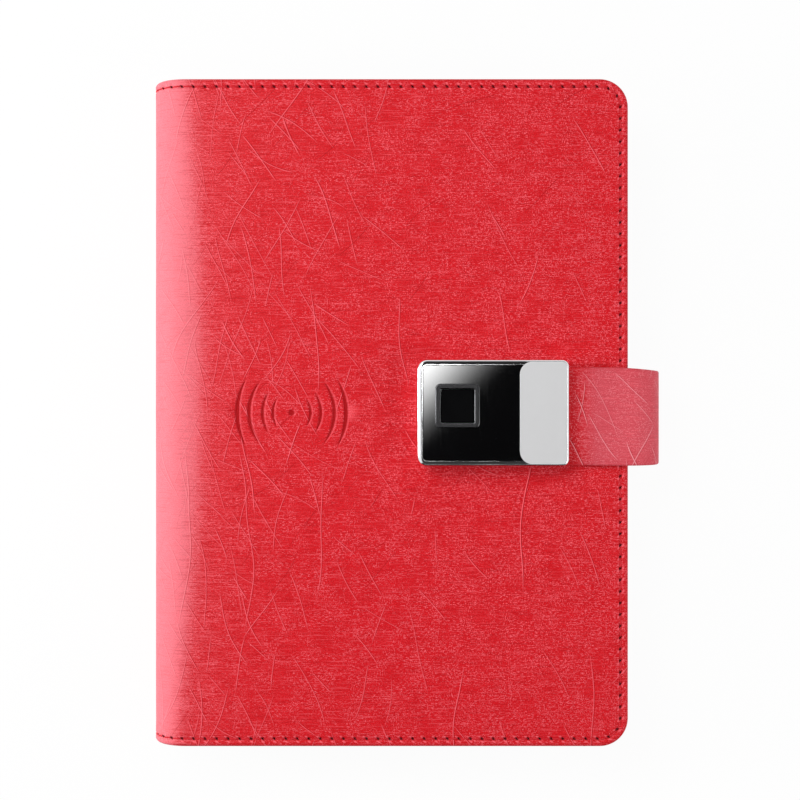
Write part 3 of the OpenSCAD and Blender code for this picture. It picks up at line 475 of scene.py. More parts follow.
def cover_height(s, y, side, wanted):
    """Relief of the flat skin in millimetres: unevenness, spine creases and, in front, the mark."""
    h = SAG * sag(s, y) + CREASE * cockle(s, y)
    if side > 0:
        h = h - wanted.deep * mark_depth(s, y)
        round_mark = np.hypot(s - MARK_S, y)
        h = h - HOLLOW * (1 - smooth(round_mark, 16, 24))
    return h


def outline_place(u, inset):
    """A place on the stitched outline and its inward direction. u is the distance along the line
    at the stitches' inset: head edge, corner, fore edge, corner, tail edge."""
    r = CORNER_R - inset
    run, bend, side = HALF_S - CORNER_R, r * np.pi / 2, 2 * (HALF_H - CORNER_R)
    ends = np.cumsum([run, bend, side, bend, run])
    t1 = np.clip((u - ends[0]) / r, 0, np.pi / 2)
    t2 = np.clip((u - ends[2]) / r, 0, np.pi / 2)
    t = t1 + t2
    centre_s = np.clip(u, 0, run) - np.clip(u - ends[3], 0, run)
    centre_y = HALF_H - CORNER_R - np.clip(u - ends[1], 0, side)
    return centre_s, centre_y, np.sin(t), np.cos(t), ends[-1]


def stitch_pitch(wanted):
    """The number of stitches on one half of the skin, and the distance between them."""
    length = outline_place(np.zeros(1), wanted.inset)[4]
    count = int(round(length / wanted.pitch))
    return count, length / count


def hole_dent(u, d, wanted):
    """The needle holes, from 0 to 1: a round hollow at each half pitch along the stitched line."""
    _, pitch = stitch_pitch(wanted)
    along = (u / pitch) % 1 - 0.5
    across = (d - wanted.inset) + along * pitch * 0.25
    return np.exp(-((along * pitch) ** 2 + across**2) / (2 * (wanted.hole / 2.2) ** 2))


def edge_section():
    """The section of the turned edge, outer face first and a matching inner face behind it. Each
    point is a distance d from the edge, a height c - k * depth, and its inner partner: across the
    top, round the outer roll, down the wall, round the inner roll, and back under."""
    top = spread((BAND_REACH, 0), (3.6, 2), (2.2, 7), (OUTER_ROLL, 2))
    a = np.linspace(0, np.pi / 2, 6)[1:]
    b = np.linspace(0, np.pi / 2, 4)[1:]
    wall = np.linspace(0, 1, 4)[1:]
    d = np.concatenate([top, OUTER_ROLL - OUTER_ROLL * np.sin(a), wall * 0,
                        INNER_ROLL - INNER_ROLL * np.cos(b), [1.22]])
    c = np.concatenate([top * 0, OUTER_ROLL * np.cos(a) - OUTER_ROLL,
                        INNER_ROLL * wall - OUTER_ROLL * (1 - wall),
                        INNER_ROLL - INNER_ROLL * np.sin(b), [0]])
    k = np.concatenate([top * 0, a * 0, wall, b * 0 + 1, [1]])
    inner_d = np.maximum(d, 1.15)
    inner_c = np.concatenate([top * 0 - 0.9, a * 0 - 0.9 - 0.25 * np.sin(a), -1.15 + 1.45 * wall,
                              b * 0 + 0.3, [0.3]])
    return d, c, k, inner_d, inner_c


def hill(value, middle, width):
    """A bell curve, 1 at its middle: exp(-((value - middle) / width)^2)."""
    return np.exp(-(((value - middle) / width) ** 2))


def edge_band(surface, side, wanted):
    """The band along the head, fore edge and tail: the turned edge's section carried along the
    stitched outline. The groove, the needle holes and the soft lip outside them are dips and
    swells of the section's top, and the section's depth follows the cover, fold and spine."""
    count, pitch = stitch_pitch(wanted)
    u = np.linspace(0, count * pitch, count * 8 + 1)
    cs, cy, ns, ny, _ = outline_place(u, wanted.inset)
    d, c, k, inner_d, inner_c = edge_section()

    def place(across):
        """Points at a distance from the edge: the corner's middle plus the rest of its radius."""
        reach = CORNER_R - across
        return cs[:, None] + reach * ns[:, None], cy[:, None] + reach * ny[:, None]

    far, along = np.broadcast_arrays(d[None, :], u[:, None])
    s, y = place(far)
    depth = skin_depth(s, side)
    on_top = smooth(far, 0.1, OUTER_ROLL)
    groove = hill(far, wanted.inset, 0.42)
    hole = hole_dent(along, far, wanted) * (k < 1)
    lip = hill(far, 1.5, 0.8) + 0.7 * hill(far, wanted.inset + 1.1, 0.6)
    pull = 0.5 - 0.5 * np.cos(2 * np.pi * along / pitch)
    top = cover_height(s, y, side, wanted) - wanted.groove * groove * (0.75 + 0.25 * pull)
    top = top - 0.5 * hole + 0.06 * lip * (1 - 0.5 * pull)
    h = c - k * depth + top * on_top * (k == 0)
    ds, dy = place(inner_d[None, :])
    inner = cover_point(ds, dy, inner_c - k * skin_depth(ds, side), side)
    run = np.concatenate([[0], np.cumsum(np.hypot(np.diff(d), np.diff(c - k * 3.5)))])
    us, uy = place(BAND_REACH - run[None, :])
    uv = np.stack([side * us, uy], axis=-1)
    outer, inset = cover_point(s, y, h, side), far + NO_STITCH * (k > 0)
    # pale carries the bend tone, partly a paler stretched tone and partly a painted sheen on the fold
    grids = [g[::side, ::-1] for g in (outer, inner, uv, bend_tone_and_sheen(s, y), along / pitch, inset)]
    shell(surface, *grids[:3], pale=grids[3], run=grids[4], inset=grids[5])


def skin_sheet(surface, side, wanted):
    """The open middle of the skin: a grid over s and y, with its corners drawn in to a round, and
    fine steps where the charging mark is pressed in. The press is kept as a value for its colour."""
    reach_s, reach_y, r = (v - SHEET_INSET for v in (HALF_S, HALF_H, CORNER_R))
    if side > 0:
        s = spread((0, 0), (STRAIGHT, 3), (STRAIGHT + ARC, 14), (MARK_S - MARK_REACH, 5),
                   (MARK_S + MARK_REACH, 122), (reach_s - r, 22), (reach_s, 4))
        half = spread((0, 0), (MARK_HALF, 34), (reach_y - r, 24), (reach_y, 4))
    else:
        s = spread((0, 0), (STRAIGHT, 3), (STRAIGHT + ARC, 14), (reach_s - r, 34), (reach_s, 4))
        half = spread((0, 0), (reach_y - r, 30), (reach_y, 4))
    y = np.concatenate([-half[:0:-1], half])
    s, y = np.meshgrid(s, y, indexing="ij")
    a, b = np.maximum(s - reach_s + r, 0), np.maximum(np.abs(y) - reach_y + r, 0)
    draw = np.where((a > 0) & (b > 0), np.maximum(a, b) / np.maximum(np.hypot(a, b), 1e-9), 1)
    s, y = s - a * (1 - draw), y - np.sign(y) * b * (1 - draw)
    h = cover_height(s, y, side, wanted) - SHEET_SINK
    press = mark_depth(s, y) * (side > 0)
    # lip is a narrow band on the +s side of each pressed stroke, where a painted highlight marks the
    # stroke's lit wall
    lip = np.maximum(mark_depth(s - 0.5, y) - press, 0) * (side > 0)
    outer, inner = cover_point(s, y, h, side), cover_point(s, y, s * 0 - SHEET_T, side)
    uv = np.stack([side * s, y], axis=-1)
    # pale carries the bend tone, partly a paler stretched tone and partly a painted sheen on the fold
    outer, inner, uv, pale = (g[::side] for g in (outer, inner, uv, bend_tone_and_sheen(s, y)))
    shell(surface, outer, inner, uv, press=press, lip=lip, pale=pale, inset=s * 0 + NO_STITCH)


def stitch_row(surface, side, wanted, first):
    """The thread between the needle holes: short bars whose middle line dips into both holes, with
    a section of six sides that thins towards its ends. first adds the stitch over the spine's
    middle."""
    count, pitch = stitch_pitch(wanted)
    k = np.arange(-1 if first else 0, count - 1 + (1 if first else 0))
    v = np.linspace(-1, 1, 8)
    u = (k[:, None] + 1) * pitch + v[None, :] * (pitch / 2 - 0.12)
    total = count * pitch
    turned = np.clip(u, 0, total)
    over = u - turned
    cs, cy, ns, ny, _ = outline_place(turned, wanted.inset)
    wander = 0.06 * np.sin(k * 2.3)[:, None] * np.sin(v * 3)[None, :]
    lean = (0.02 + 0.1 * v[None, :]) + wander
    uneven = (1 + 0.05 * np.sin(k * 1.7))[:, None]
    thick = wanted.thread * np.sqrt(np.clip(1.02 - v**2, 0.02, 1))[None, :] * uneven
    middle = 0.02 - wanted.groove * 0.55 - 0.34 * v[None, :] ** 4 + 0 * u
    angle = np.linspace(0, 2 * np.pi, 7)[:-1]
    across = lean[..., None] + thick[..., None] * np.cos(angle)
    h = middle[..., None] + 0.85 * thick[..., None] * np.sin(angle)
    reach = CORNER_R - wanted.inset + across
    inward = over * np.where(turned > total / 2, -1, 1)
    s = cs[..., None] + reach * ns[..., None] + inward[..., None]
    y = cy[..., None] + reach * ny[..., None]
    points = cover_point(s, y, h, side)
    n, rings, sides = points.shape[:3]
    low = np.array([[0, 1, 2, 3], [0, 3, 4, 5]])
    last = low[:, ::-1] + (rings - 1) * sides
    one = np.concatenate([grid_faces(rings, sides, wrap=True), low, last])
    quads = (one[None] + (np.arange(n) * rings * sides)[:, None, None]).reshape(-1, 4)
    uv = np.stack([np.broadcast_to(u[..., None], s.shape), np.broadcast_to(angle, s.shape) * 0.3],
                  axis=-1)
    surface.add(points, quads, uv)


def gutter_strip(surface, side):
    """The lining strip glued over the gutter, a thin closed sheet. It follows the inside of the
    spine and the fold. In front it laps 3 mm onto the cover's lining, and at the back it ends
    under the ring channel."""
    end = STRAIGHT + ARC
    stops = ((end, 22), (end + 3, 2)) if side > 0 else ((end - 2.5, 20),)
    s = spread((0, 0), (STRAIGHT, 2), *stops)
    y = spread((-HALF_H + 1.4, 0), (HALF_H - 1.4, 40))
    s, y = np.meshgrid(s, y, indexing="ij")
    under = -skin_depth(s, side) - 0.06
    thick = 0.16 * (1 - smooth(s, end + 2, end + 3) * 0.7)
    outer, inner = cover_point(s, y, under, side), cover_point(s, y, under - thick, side)
    shell(surface, outer, inner, np.stack([side * s, y], axis=-1))


def strap_line(wanted):
    """The strap's middle layer seen from the tail, as points and directions: out of the back
    cover, a quarter round the lower bend, up, a quarter round the upper bend, and to the lock."""
    half = wanted.thick / 2
    x = STRAP_X - half
    low, top = ROOT_LOW[2] + half, FLAP_HIGH[2] - half
    r = wanted.bend
    cx = x - r
    start, end = ROOT_LOW[0], CASE_HIGH[0] + 0.12
    marks = [("run", cx - start), ("turn", r * np.pi / 2), ("run", top - low - 2 * r),
             ("turn", r * np.pi / 2), ("run", cx - end)]
    steps = (16, 20, 8, 20, 20)
    t = spread((0, 0), *zip(np.cumsum([m[1] for m in marks]), steps))
    e = np.cumsum([0] + [m[1] for m in marks])
    angle = np.clip((t - e[1]) / r, 0, np.pi / 2) + np.clip((t - e[3]) / r, 0, np.pi / 2)
    px = start + np.clip(t, 0, e[1]) - np.clip(t - e[4], 0, None)
    pz = low + r + np.clip(t - e[2], 0, e[3] - e[2])
    px = px + r * np.sin(angle)
    pz = pz - r * np.cos(angle)
    return t, np.stack([px, pz], axis=-1), np.stack([np.sin(angle), -np.cos(angle)], axis=-1), e


def strap_section(width, thick):
    """A flat section with round edges: offsets across the width and out of the strap, with a
    slightly raised middle on both faces. A closed loop, anticlockwise."""
    r = thick * 0.42
    w, h = width / 2, thick / 2
    a = np.linspace(0, np.pi / 2, 5)
    flat = np.linspace(1, -1, 14)[1:-1]
    across = np.concatenate([w - r + r * np.cos(a), flat * (w - r), -(w - r) - r * np.sin(a),
                             -(w - r) - r * np.cos(a), -flat * (w - r), w - r + r * np.sin(a)])
    out = np.concatenate([h - r + r * np.sin(a), flat * 0 + h, h - r + r * np.cos(a),
                          -(h - r) - r * np.sin(a), flat * 0 - h, -(h - r) - r * np.cos(a)])
    return across, out


def strap_part(surface, wanted, part):
    """Half of the strap, cut across the middle of its riser: its section is carried along its
    line. It narrows a little from the bend on, waves slightly, and its edges are burnished round."""
    t, line, normal, e = strap_line(wanted)
    cut = (e[2] + e[3]) / 2
    keep = t <= cut + 0.01 if part == "lower" else t >= cut - 0.01
    t, line, normal = t[keep], line[keep], normal[keep]
    across, out = strap_section(wanted.width, wanted.thick)
    free = smooth(t, e[2], e[4])
    wave = 0.14 * np.sin(t / 7.3 + 1.2) * free
    width = 1 - 0.006 * free
    pinch = 1.1 * (1 - smooth(t, e[3] + 3, e[4] + 5))
    pinch = pinch[:, None] * (0.5 + across / wanted.width)[None, :]
    y = wanted.middle + across[None, :] * width[:, None] + wave[:, None] * 0.6 - pinch
    bow = 0.10 * (1 - (across / (wanted.width / 2)) ** 2)
    edge = np.abs(across) / (wanted.width / 2)
    ripple = 0.05 * np.sin(t[:, None] / 3.1 + across[None, :] / 6) * (1 - edge[None, :] ** 4)
    reach = out[None, :] + ((bow * (out > 0))[None, :] + ripple) * free[:, None]
    x = line[:, 0, None] + normal[:, 0, None] * reach
    z = line[:, 1, None] + normal[:, 1, None] * reach
    points = np.stack([x, y, z], axis=-1)
    over = out >= 0
    uv_y = np.where(over, across, np.sign(across) * wanted.width - across)
    uv = np.stack(np.broadcast_arrays(STRAP_UV - t[:, None], uv_y[None]), axis=-1)
    # The pale value below runs on the outer face from the lower bend to past the upper one: partly a paler
    # stretched tone and partly a painted sheen.
    bend = smooth(t, e[1] - 4, e[1] + 4) * (1 - smooth(t, e[4] + 10, e[4] + 21))
    pale = bend[:, None] * (out[None, :] > 0)
    worn = np.broadcast_to(edge[None, :] ** 8, x.shape)
    n, m = x.shape
    surface.grid(points, uv, flip=True, wrap=True, pale=pale, worn=worn)
    for row, turn in ((0, False), (n - 1, True)):
        ring = points[row]
        centre = ring.mean(axis=0)
        fan = np.concatenate([ring, centre[None]])
        i = np.arange(m)
        quads = np.stack([i, (i + 1) % m, np.full(m, m), np.full(m, m)], axis=-1)
        surface.add(fan, quads if turn else quads[:, ::-1], np.concatenate([uv[row], uv[row][:1]]),
                    pale=pale[row, 0])


# The open gap between the lock case and its face panel, in millimetres
PANEL_GAP = 0.28
# How far the end plate laps onto the rim, and how far it stands above the panel
END_LAP = 0.9
END_RISE = 0.36
# The end plate's corner radii, next to the panel and at the strap side
END_R = 4.4
END_OUTER_R = 1.5
# The small bevel under a plate
LOW_BEVEL = 0.05


def round_box(low, high, left, right, steps=7):
    """The outline of a box with corner radius left at its -X side and right at its +X side, as a
    loop of points anticlockwise from above, and the outward direction at each."""
    a = np.linspace(0, np.pi / 2, steps)
    pieces = []
    for x, y, r, turn in ((high[0], high[1], right, 0), (low[0], high[1], left, 1),
                          (low[0], low[1], left, 2), (high[0], low[1], right, 3)):
        sx, sy = (1 if turn in (0, 3) else -1), (1 if turn in (0, 1) else -1)
        n = np.stack([np.cos(a + turn * np.pi / 2), np.sin(a + turn * np.pi / 2)], axis=-1)
        pieces.append(np.concatenate([np.array([[x - sx * r, y - sy * r]]) + n * r, n], axis=-1))
    loop = np.concatenate(pieces)
    return loop[:, :2], loop[:, 2:]


def rim_lines(loop):
    """The outward direction at each point of a loop: the mean of its two edges' normals, longer
    at a sharp corner so that a step outwards keeps the edges parallel."""
    step = np.roll(loop, -1, axis=0) - loop
    step = step / np.linalg.norm(step, axis=1, keepdims=True)
    n = np.stack([step[:, 1], -step[:, 0]], axis=-1)
    both = n + np.roll(n, 1, axis=0)
    return both / np.maximum((both * n).sum(axis=1, keepdims=True), 0.5)


def cut_plate(surface, loops, z0, z1, bevel, edge_slot=0):
    """A plate with holes: loops[0] runs anticlockwise and the holes clockwise. Each wall climbs
    from z0 to z1 over a small bevel below and a rounder one above, and the two faces fill the
    loops, so the form is closed. A narrow level strip inside the bevel keeps the face's shading
    flat. The bevel above may have a material slot of its own."""
    a = np.linspace(0, np.pi / 2, 5)
    steps = np.concatenate([[-LOW_BEVEL, 0], bevel * (np.cos(a) - 1), [-bevel - 0.1]])
    heights = np.concatenate([[z0, z0 + LOW_BEVEL], z1 - bevel + bevel * np.sin(a), [z1]])
    walls = []
    for loop in loops:
        out = rim_lines(loop)
        rows = loop[None] + out[None] * steps[:, None, None]
        z = np.broadcast_to(heights[:, None, None], rows[..., :1].shape)
        wall = np.concatenate([rows, z], axis=-1)
        surface.grid(wall[:3], flip=True, wrap=True)
        surface.grid(wall[2:], flip=True, wrap=True, slot=edge_slot)
        walls.append(wall)
    for row, flip in ((-1, False), (0, True)):
        faces = [wall[row] for wall in walls]
        corners = tessellate_polygon([[Vector(p) for p in face] for face in faces])
        t = np.array(corners, int)
        t = np.concatenate([t, t[:, 2:]], axis=1)
        surface.add(np.concatenate(faces), t[:, ::-1] if flip else t)


def end_outline(gap, hollow=False):
    """The end plate's outline, larger by a gap, with large round corners next to the panel. hollow
    gives only the corners next to the panel, for the panel's own edge. The other three sides
    reach END_LAP onto the case's rim."""
    r, y = END_R, END_HIGH[1] + (gap if hollow else END_LAP)
    x = END_LOW[0] - gap
    a = np.linspace(0, np.pi / 2, 9)
    upper = np.stack([x + r - r * np.sin(a), y - r + r * np.cos(a)], axis=-1)
    lower = np.stack([x + r - r * np.cos(a), r - y - r * np.sin(a)], axis=-1)
    if hollow:
        return upper, lower
    loop, _ = round_box((END_LOW[0] + 6 - gap, -y), (END_HIGH[0] + END_LAP, y), 0.01, END_OUTER_R)
    right = loop[loop[:, 0] > END_HIGH[0] - 1.8]
    top, bottom = right[right[:, 1] > 0], right[right[:, 1] < 0]
    return np.concatenate([bottom[np.argsort(bottom[:, 1])], top[np.argsort(top[:, 1])], upper, lower])


def panel_outline():
    """The face panel's outline: two small round corners at the spine side, and at the strap side
    it follows the end plate with a hair's gap. A gap to the case stays open as a dark groove."""
    low, high = PANEL_LOW[:2] + PANEL_GAP, PANEL_HIGH[:2] - PANEL_GAP
    loop, _ = round_box(low, high, 1.75, 0.1)
    left = loop[loop[:, 0] < low[0] + 2.2]
    top = left[left[:, 1] > 0]
    bottom = left[left[:, 1] < 0]
    upper, lower = end_outline(0.1, hollow=True)
    upper = upper[(upper[:, 1] < high[1] - 0.02)]
    lower = lower[(lower[:, 1] > low[1] + 0.02)]
    edge_x = upper[0][0] + 0.3
    tips = np.array([[edge_x, low[1]], [edge_x, high[1]]])
    return np.concatenate([tips[:1], lower[::-1], upper[::-1], tips[1:], top, bottom])


def square_ring(centre, size, r):
    """A rounded square round a centre, anticlockwise."""
    half = size / 2
    return round_box((centre[0] - half, centre[1] - half), (centre[0] + half, centre[1] + half), r, r)[0]


def case_rim(surface):
    """The polished rim over the lock case's top edge: a closed section carried round the case's
    outline. Each point of the section is a step outwards and a height above the case's top: wall,
    round edge, slope up to the ridge, down to the lip, and back inside the case's wall. The slope
    is wider at the spine side. Slot 1, from the ridge's inner slope over the lip and back inside,
    is painted dark as the shade in the groove round the panel, and slot 0 is the rest."""
    line, out = round_box(CASE_LOW[:2], CASE_HIGH[:2], 3.2, 2.2, 11)
    left = np.maximum(-out[:, 0], 0) ** 2
    wide, ridge = 0.36 + 0.68 * left, 0.36 + 0.06 * left
    section = [(0.0, -1.6), (0.08, -1.45), (0.08, -0.30), (0.06, -0.06), (0.0, 0.08), (-0.08, 0.16),
               (-wide, ridge), (-wide - 0.08, ridge - 0.03), (-wide - 0.22, 0.13), (-1.37, 0.03),
               (-1.38, -0.9), (-0.7, -1.0), (-0.7, -1.6), (0.0, -1.6)]
    step, rise = (np.stack([v[i] + 0 * wide for v in section]) for i in (0, 1))
    flat = line[None] + out[None] * step[..., None]
    points = np.concatenate([flat, (CASE_HIGH[2] + rise)[..., None]], axis=-1)
    surface.grid(points[:9], wrap=True)
    surface.grid(points[8:], wrap=True, slot=1)


def stitch_marks(f, sizes):
    """The needle holes, whose dark is painted shade, the sunk seam, painted as a line of shade, and a
    glint beside each hole, a painted highlight, each from 0 to 1. They follow the distance along the
    seam in stitches (run) and the distance from the edge (inset). A spot is an ellipse with a soft
    edge, leaning with the stitches."""
    x = f.product(f.math("SUBTRACT", f.math("FRACT", f.value("run")), 0.5), sizes.pitch)
    y = f.math("SUBTRACT", f.value("inset"), sizes.inset)
    lean = f.product(x, 0.35)

    def spot(x0, y0, long, wide, soft):
        """1 inside an ellipse round x0, y0 and 0 outside it, over a step of the width soft."""
        a = f.math("DIVIDE", f.math("SUBTRACT", x, x0), long)
        b = f.math("DIVIDE", f.math("SUBTRACT", f.math("SUBTRACT", y, y0), lean), wide)
        return f.ramp(f.hypot(a, b), 1 - soft, 1 + soft, 1, 0)

    r = sizes.hole / 2
    glint = f.math("MAXIMUM", spot(1.9 * r, 0.9 * r, 1.1 * r, 0.7 * r, 0.5),
                   spot(-0.4 * r, -2.1 * r, 1.3 * r, 0.6 * r, 0.5))
    seam_shade = f.ramp(f.math("ABSOLUTE", y), 0.15, 0.5, 1, 0)
    return spot(0, 0, 1.5 * r, 0.9 * r, 0.3), seam_shade, glint


def leather_grain(f, place, reach):
    """The pressed linen grain: noise drawn out along the level and the plumb threads. Its peaks
    are the flecks, which a finer noise cuts into dashes and a wide one gathers in patches, a
    little more of them towards the fore edge. Gives both grains, the finer noise and the flecks."""
    level = f.noise(f.stretched(place, (8, 30, 1)), 1.0, 1.0)
    plumb = f.noise(f.stretched(place, (30, 9, 1), move=(3, 0, 0)), 1.0, 1.0)
    dots = f.noise(f.stretched(place, (27, 33, 1), move=(8, 6, 0)), 1.0, 1.0)
    more = f.ramp(reach, 3, 16, -0.015, 0.05)

    def patches(scale, move):
        """Wide noise, drawn out and moved, and raised towards the fore edge."""
        return f.math("ADD", f.noise(f.stretched(place, scale, move=move), 1.0, 4.0, 0.62), more)

    wide, high = patches((0.8, 1.9, 1), (4, 1, 0)), patches((2.0, 1.0, 1), (7, 2, 0))
    fleck = f.product(f.ramp(level, 0.54, 0.60), f.ramp(wide, 0.42, 0.60, 0.2, 1.0))
    upright = f.product(f.ramp(plumb, 0.55, 0.62), f.ramp(high, 0.46, 0.60, 0.08, 0.9))
    fleck = f.product(f.math("MAXIMUM", fleck, upright), f.ramp(dots, 0.44, 0.56, 0.12, 1.0))
    return level, plumb, dots, fleck


def leather_scratches(f, place, rows):
    """The scratches of all families: a pale line each, partly the scratch's paler colour and partly a
    painted highlight on its ridge, and a dark line beside it, painted shade of the ridge. The place is
    bent by a wide noise, so that the lines curve, and rows is the share of them that shows."""
    wander = f.node("ShaderNodeTexNoise", Vector=place, Scale=0.32, Detail=0.0).outputs["Color"]
    curved = f.node("ShaderNodeVectorMath", {"operation": "MULTIPLY_ADD"},
                    i0=wander, i1=(0.8, 0.8, 0), i2=place).outputs[0]
    pale_highlight_line = shade_line = 0.0
    for turn, cell, part, move, wide, both in SCRATCHES:
        away, strength = f.strokes(curved, turn, cell, f.product(rows, part), move)
        dark = f.product(f.ramp(f.gap(away, 1.7 * wide), 0.3 * wide, wide, 1, 0), strength)
        shade_line = f.math("MAXIMUM", shade_line, dark)
        if both:
            pale = f.product(f.ramp(f.math("ABSOLUTE", away), 0.3 * wide, wide, 1, 0), strength)
            pale_highlight_line = f.math("MAXIMUM", pale_highlight_line, pale)
    return pale_highlight_line, shade_line


def leather_finish(name, look, sizes=None, strap=False):
    """Red leather with a pressed linen grain: short pale flecks along both threads that gather in
    patches, fine cross ribs, thin embossed scratches whose pale line is partly a painted highlight,
    with a dark line of painted shade beside each, darker pressed places with a painted highlight on
    one side of each stroke, needle holes painted dark as shade, a painted glint beside each hole and
    painted shade along the seam, and a pale tone where the leather is bent, partly a paler stretched
    tone and partly a painted sheen. UVs are centimetres."""
    f = Finish(name, look.base, look.rough, IOR=1.45, Specular_IOR_Level=0.15)
    place = f.uv_place()
    reach = f.math("ABSOLUTE", f.parts(place)[0])
    level, plumb, dots, fleck = leather_grain(f, place, reach)
    ribs = f.noise(f.stretched(place, (1.1, 21, 1), move=(0, 5, 0)), 1.0, 2.0, 0.6)
    mottle = f.noise(place, 1.3, 4.0, 0.6)
    rows = 0.7 if strap else f.ramp(reach, 4, 12, 1.0, 0.13)
    pale_highlight_line, shade_line = leather_scratches(f, place, rows)
    colour = f.mix(f.ramp(mottle, 0.3, 0.7, 0, 0.55), look.base, look.deep)
    # The pale value is partly a paler stretched tone and partly a painted sheen where the leather bends;
    # hatch breaks up its edge and grip weakens the grain's dark marks under it.
    pale = f.value("pale")
    half = f.product(pale, f.math("SUBTRACT", 1.0, pale), 4.0)
    hatch = f.math("ADD", f.math("SUBTRACT", ribs, 0.5), f.math("SUBTRACT", level, 0.5))
    bent_and_sheen = f.math("ADD", pale, f.product(hatch, half, 1.1), clamp=True)
    if strap:
        bent_and_sheen = f.math("MULTIPLY_ADD", f.math("SUBTRACT", dots, 0.5), 0.45, bent_and_sheen, clamp=True)
    colour = f.mix(f.product(bent_and_sheen, look.stretch_and_sheen), colour, look.rose if strap else look.pale)
    grip = f.ramp(pale, 0.15, 0.8, 0.35 if strap else 1.0, 0.42)
    colour = f.mix(f.product(f.ramp(dots, 0.52, 0.36, 0, 0.75), grip), colour, look.shade)
    colour = f.mix(f.product(f.ramp(ribs, 0.47, 0.32, 0, 0.52), grip), colour, look.shade)
    colour = f.mix(f.ramp(ribs, 0.54, 0.72, 0, 0.36), colour, look.fleck)
    fleck = f.product(fleck, look.flecks * (0.7 if strap else 1))
    colour = f.mix(fleck, colour, look.lint if strap else look.fleck)
    # Painted shade beside each scratch, then its pale line, partly the scratch's paler colour and partly a
    # painted highlight; on the sheen the lines turn paler and the shade weaker.
    shown = f.ramp(pale, 0.3, 1.0, 1.0, 0.3)
    colour = f.mix(f.product(shade_line, look.scratches, shown), colour, look.shade)
    line = look.scar if strap else f.mix(f.ramp(pale, 0.2, 0.9, 0, 0.5), look.scratch_and_highlight, look.scar)
    colour = f.mix(f.product(pale_highlight_line, look.scratches), colour, line)
    if strap:
        colour = f.mix(f.product(f.value("worn"), 0.12), colour, look.shade)
    else:
        # The pressed places take their own darker colour; the rest is painted light: a highlight on the
        # lit wall of each pressed stroke, shade along the seam, a glint beside each hole and shade in the
        # holes.
        hole, seam_shade, glint = stitch_marks(f, sizes)
        for share, part, tint_over in ((f.value("press"), 0.95, look.pressed),
                                       (f.value("lip"), 0.4, look.scratch_and_highlight), (seam_shade, 0.3, look.shade),
                                       (glint, 0.8, look.scratch_and_highlight), (hole, 1.0, look.hole)):
            colour = f.mix(f.product(share, part), colour, tint_over)
    f.set("Base Color", colour)
    cloud = f.math("ADD", f.product(dots, 0.5), f.product(mottle, 0.5))
    f.set("Roughness", f.ramp(cloud, 0.3, 0.7, look.rough - 0.06, look.rough + 0.10))
    weave = f.math("ADD", f.product(level, 0.5), f.product(plumb, 0.5))
    grain = f.math("ADD", weave, f.math("ADD", f.product(dots, 0.6), ribs))
    lines = f.math("SUBTRACT", pale_highlight_line, shade_line)
    return f.relief(f.bump(lines, 0.45, 0.05, f.bump(grain, 0.4, 0.10)))


# Families of scratches: turn in degrees, a cell's width and length in centimetres, the share of
# cells with a line, a shift, the line's half width, and whether it has a pale line too
SCRATCHES = (
    (-24, (0.9, 3.0), 0.66, (0.2, 0.3, 0), 0.018, True),
    (-38, (1.0, 2.3), 0.58, (4.1, 7.7, 0), 0.017, True),
    (-10, (1.2, 3.6), 0.55, (9.4, 3.2, 0), 0.018, True),
    (14, (1.1, 2.6), 0.50, (2.4, 6.2, 0), 0.016, True),
    (34, (1.4, 2.2), 0.45, (5.7, 1.9, 0), 0.016, False),
    (-2, (2.4, 7.0), 0.50, (3.3, 8.1, 0), 0.019, True),
    (-57, (1.6, 2.4), 0.45, (6.6, 4.4, 0), 0.015, True),
    (24, (1.6, 4.2), 0.40, (1.6, 9.4, 0), 0.017, True),
    (52, (2.0, 2.8), 0.35, (8.8, 0.4, 0), 0.015, False),
)


def thread_finish(name, look):
    """Twisted thread: slanting stripes along the stitch, painted darker between the plies as shade and
    lighter on the raised plies as a highlight.
    """
    f = Finish(name, look.thread, 0.6, Specular_IOR_Level=0.15)
    ply = f.node("ShaderNodeTexWave", {"wave_type": "BANDS", "bands_direction": "DIAGONAL"},
                 Vector=f.stretched(f.uv_place(), (10, 10, 1)), Scale=1.3, Distortion=0.6).outputs[1]
    f.set("Base Color", f.mix(f.ramp(ply, 0.2, 0.8), look.thread, look.thread_light))
    return f.relief(f.bump(ply, 0.5, 0.08))


# Colours of inner pieces, which no property changes
FOIL = (0.45, 0.48, 0.5)
TAPE = linear((196, 132, 22))
SOLDER_MASK = linear((24, 92, 56))
NYLON = linear((30, 30, 32))

# How far the fine lines of metal are drawn out along each direction; None is cast or rolled metal
BRUSHED = {"x": (60, 1500, 1500), "y": (1500, 60, 1500), None: (700, 700, 700)}


def shaded(colour, factor, lift=0.0):
    """The colour times a factor, plus a lift, and at most 1."""
    return tuple(min(c * factor + lift, 1) for c in colour)


def metal_finish(name, colour, rough, brushed=None, metal=1.0, cloudy=0.3):
    """Metal with a slightly uneven polish; brushed gives the direction of fine lines."""
    f = Finish(name, colour, rough, metal)
    place = f.object_place()
    line = f.noise(f.stretched(place, BRUSHED[brushed]), 1.0, 4.0, 0.6)
    cloud = f.noise(place, 90.0, 3.0)
    f.set("Roughness", f.ramp(f.math("ADD", line, cloud), 0.7, 1.3, rough - 0.05, rough + 0.05))
    f.set("Base Color", f.mix(f.ramp(cloud, 0.35, 0.65, 0, cloudy), colour, shaded(colour, 0.86)))
    return f.relief(f.bump(line, 0.12, 0.02))


